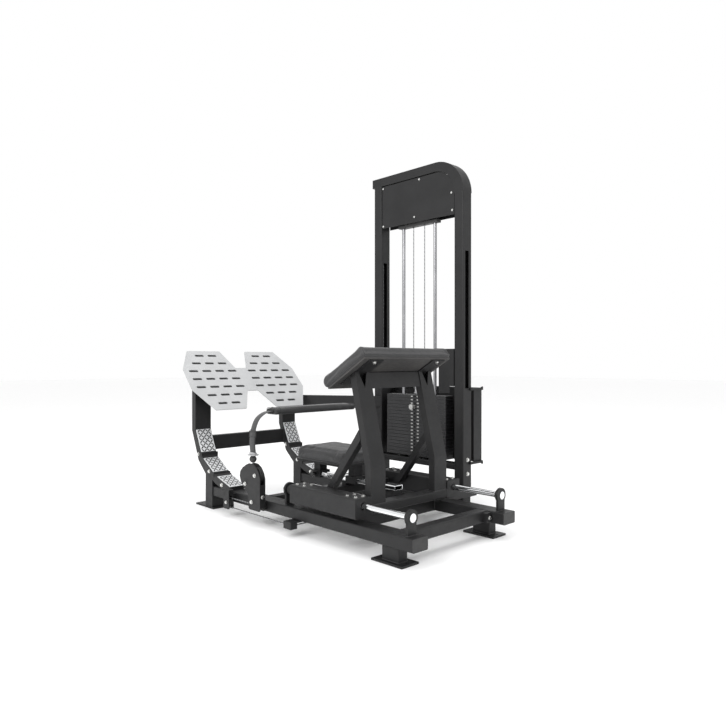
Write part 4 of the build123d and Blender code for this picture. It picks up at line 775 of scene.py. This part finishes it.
def ribbon(form, line, half_w, thickness):
    """Flat webbing along a line, with rounded selvedges, its width along X."""
    half_t = thickness / 2
    lip = thickness * 0.7
    section = [(-half_w, -half_t * 0.4), (-half_w + lip, -half_t), (half_w - lip, -half_t),
               (half_w, -half_t * 0.4), (half_w, half_t * 0.4), (half_w - lip, half_t),
               (-half_w + lip, half_t), (-half_w, half_t * 0.4)]
    sweep(form, line, X, lambda i: section, uv=True)


def ring_of(form, corners, radius, sides=8):
    """A round wire bent through the corners and closed."""
    centre = sum(corners, Vector()) / len(corners)
    normal = (corners[0] - centre).cross(corners[1] - centre).normalized()
    sweep(form, evenly(corners, 0.003, closed=True), normal, lambda i: circle(radius, sides),
          closed=True)


def strap_stitches(form, y, side):
    """Two slanted rows of thread across a strap's doubled end."""
    for z in (STRAP_LOW_Z + 0.018, STRAP_LOW_Z + 0.050):
        for k in range(7):
            across = (k - 3) / 3 * (STRAP_HALF_W - 0.005)
            start = Vector((BELT_X + across - 0.0018, y + side * 0.0001, z + abs(across) * 0.4))
            place = [start + Vector((dx, side * (0.0040 + lift), 0)) for dx, lift in
                     ((0.0, 0.0), (0.001, 0.0006), (0.0028, 0.0006), (0.0038, 0.0))]
            sweep(form, place, Z, lambda i: circle(STITCH_R, 6))


def strap_buckle(form, y, side):
    """A three-bar slide: bars across the strap between two posts."""
    buckle = Vector((BELT_X, y + side * 0.001, BUCKLE_Z))
    half = BUCKLE_HALF_W
    for dz in (-BUCKLE_BAR_PITCH, 0.0, BUCKLE_BAR_PITCH):
        bar = [buckle + Vector((dx, side * (0.0045 if dz else -0.003), dz))
               for dx in (-half, -half / 2, 0.0, half / 2, half)]
        sweep(form, bar, Z, lambda i: circle(BAR_R, 8))
    for dx in (-half, half):
        post = [buckle + Vector((dx, side * 0.0015, dz))
                for dz in (-0.0165, -0.008, 0.0, 0.008, 0.0165)]
        sweep(form, post, X, lambda i: circle(POST_R, 8))


def make_straps():
    """Each strap with its doubled lower end, stitching, buckle and the ring at the bar's end."""
    web, thread, metal = bmesh.new(), bmesh.new(), bmesh.new()
    for side in (-1, 1):
        y = MID_Y + side * STRAP_Y
        route = [Vector((BELT_X, y + out * side, z)) for out, z in STRAP_LINE]
        route.append(Vector((BELT_X, MID_Y + side * (BELT_HALF_L - 0.006), BELT_Z)))
        centre_line = smooth_line(route, 0.006)
        ribbon(web, centre_line, STRAP_HALF_W, WEB_T)
        for face, top in ((1, BUCKLE_Z + 0.030), (-1, BUCKLE_Z - 0.012)):
            doubled = [p + face * Vector((0, side * (WEB_T + WEB_GAP), 0)) for p in centre_line
                       if STRAP_LOW_Z < p.z < top]
            ribbon(web, doubled, STRAP_HALF_W - 0.0005, WEB_T)
        strap_stitches(thread, y, side)
        strap_buckle(metal, y, side)
        ring_y = MID_Y + side * (BELT_HALF_L + 0.004)
        corners = [Vector((BELT_X + a, ring_y, BELT_Z + b))
                   for a, b in rounded_loop(0.027, 0.010, 0.009, 5)]
        ring_of(metal, corners, END_RING_R)
    add_piece("strap_webbing", web, FINISHES["webbing"], "hip_belt",
              replaces=("belt_straps",))
    add_piece("strap_stitching", thread, THREAD, "hip_belt")
    add_piece("strap_buckles", metal, FINISHES["black_plastic"], "hip_belt")


def make_belt_trim():
    """Two piped seams round each end of the padded bar."""
    form = bmesh.new()
    low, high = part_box("hip_belt_pad")
    centre_z = (low.z + high.z) / 2
    half_a, half_b = (high.x - low.x) / 2 - 0.0022, (high.z - low.z) / 2 - 0.0012
    for side in (-1, 1):
        for depth in (0.010, 0.034):
            y = MID_Y + side * (BELT_HALF_L - depth)
            loop = [Vector((BELT_X + a, y, centre_z + b))
                    for a, b in rounded_loop(half_a, half_b, half_b - 0.0005, 8)]
            sweep(form, evenly(loop, 0.004, closed=True), Y, lambda i: circle(0.0014, 8),
                  closed=True)
    add_piece("belt_end_piping", form, FINISHES["vinyl"], "hip_belt")


make_straps()
make_belt_trim()


# ---- studio -----------------------------------------------------------------------------------
AIM = (0, 0, 0.8)
# each lamp's name, place, size and power
LAMPS = (("key", (0.2, -5.2, 3.6), 3.0, 170), ("fill", (5.4, -0.6, 2.6), 3.0, 60),
         ("top", (-0.5, 0.4, 5.5), 4.0, 80))
FLOOR_HALF = 30.0
CAMERA_PLACE, CAMERA_HEADING, CAMERA_PITCH = (2.836, -2.652, 0.900), 46.21, -0.13
SENSOR_MM, LENS_MM = 36.0, 31.6


def area_light(name, place, target, size, power):
    data = bpy.data.lights.new(name, "AREA")
    data.shape, data.size, data.energy = "SQUARE", size, power
    lamp = bpy.data.objects.new(name, data)
    lamp.location = place
    lamp.rotation_euler = (Vector(target) - Vector(place)).to_track_quat("-Z", "Y").to_euler()
    bpy.context.scene.collection.objects.link(lamp)


def make_studio():
    """A wide pale floor under a white sky, and three soft lamps."""
    ground = bmesh.new()
    ground.faces.new([ground.verts.new((sx * FLOOR_HALF, sy * FLOOR_HALF, 0))
                      for sx, sy in ((-1, -1), (1, -1), (1, 1), (-1, 1))])
    mesh = bpy.data.meshes.new("floor")
    ground.to_mesh(mesh)
    ground.free()
    floor = bpy.data.objects.new("floor", mesh)
    bpy.context.scene.collection.objects.link(floor)
    mesh.materials.append(coated("pale_floor", (0.96, 0.96, 0.96), (0.98, 0.98, 0.98),
                                 (0.7, 0.8), 40.0, 0.0001))
    world = bpy.data.worlds.new("studio")
    bpy.context.scene.world = world
    world.use_nodes = True
    backdrop = world.node_tree.nodes["Background"]
    backdrop.inputs["Color"].default_value = (1, 1, 1, 1)
    backdrop.inputs["Strength"].default_value = 1.0
    for name, place, size, power in LAMPS:
        area_light(name, place, AIM, size, power)


def make_camera():
    """The camera stands at the corner between the open end and the near rail."""
    data = bpy.data.cameras.new("camera")
    data.sensor_width, data.lens = SENSOR_MM, LENS_MM
    camera = bpy.data.objects.new("camera", data)
    camera.location = CAMERA_PLACE
    heading, pitch = math.radians(CAMERA_HEADING), math.radians(CAMERA_PITCH)
    camera.rotation_euler = (math.pi / 2 + pitch, 0, heading)
    bpy.context.scene.collection.objects.link(camera)
    bpy.context.scene.camera = camera


make_studio()
make_camera()
bpy.context.scene.view_settings.view_transform = "Standard"

bpy.context.view_layer.update()
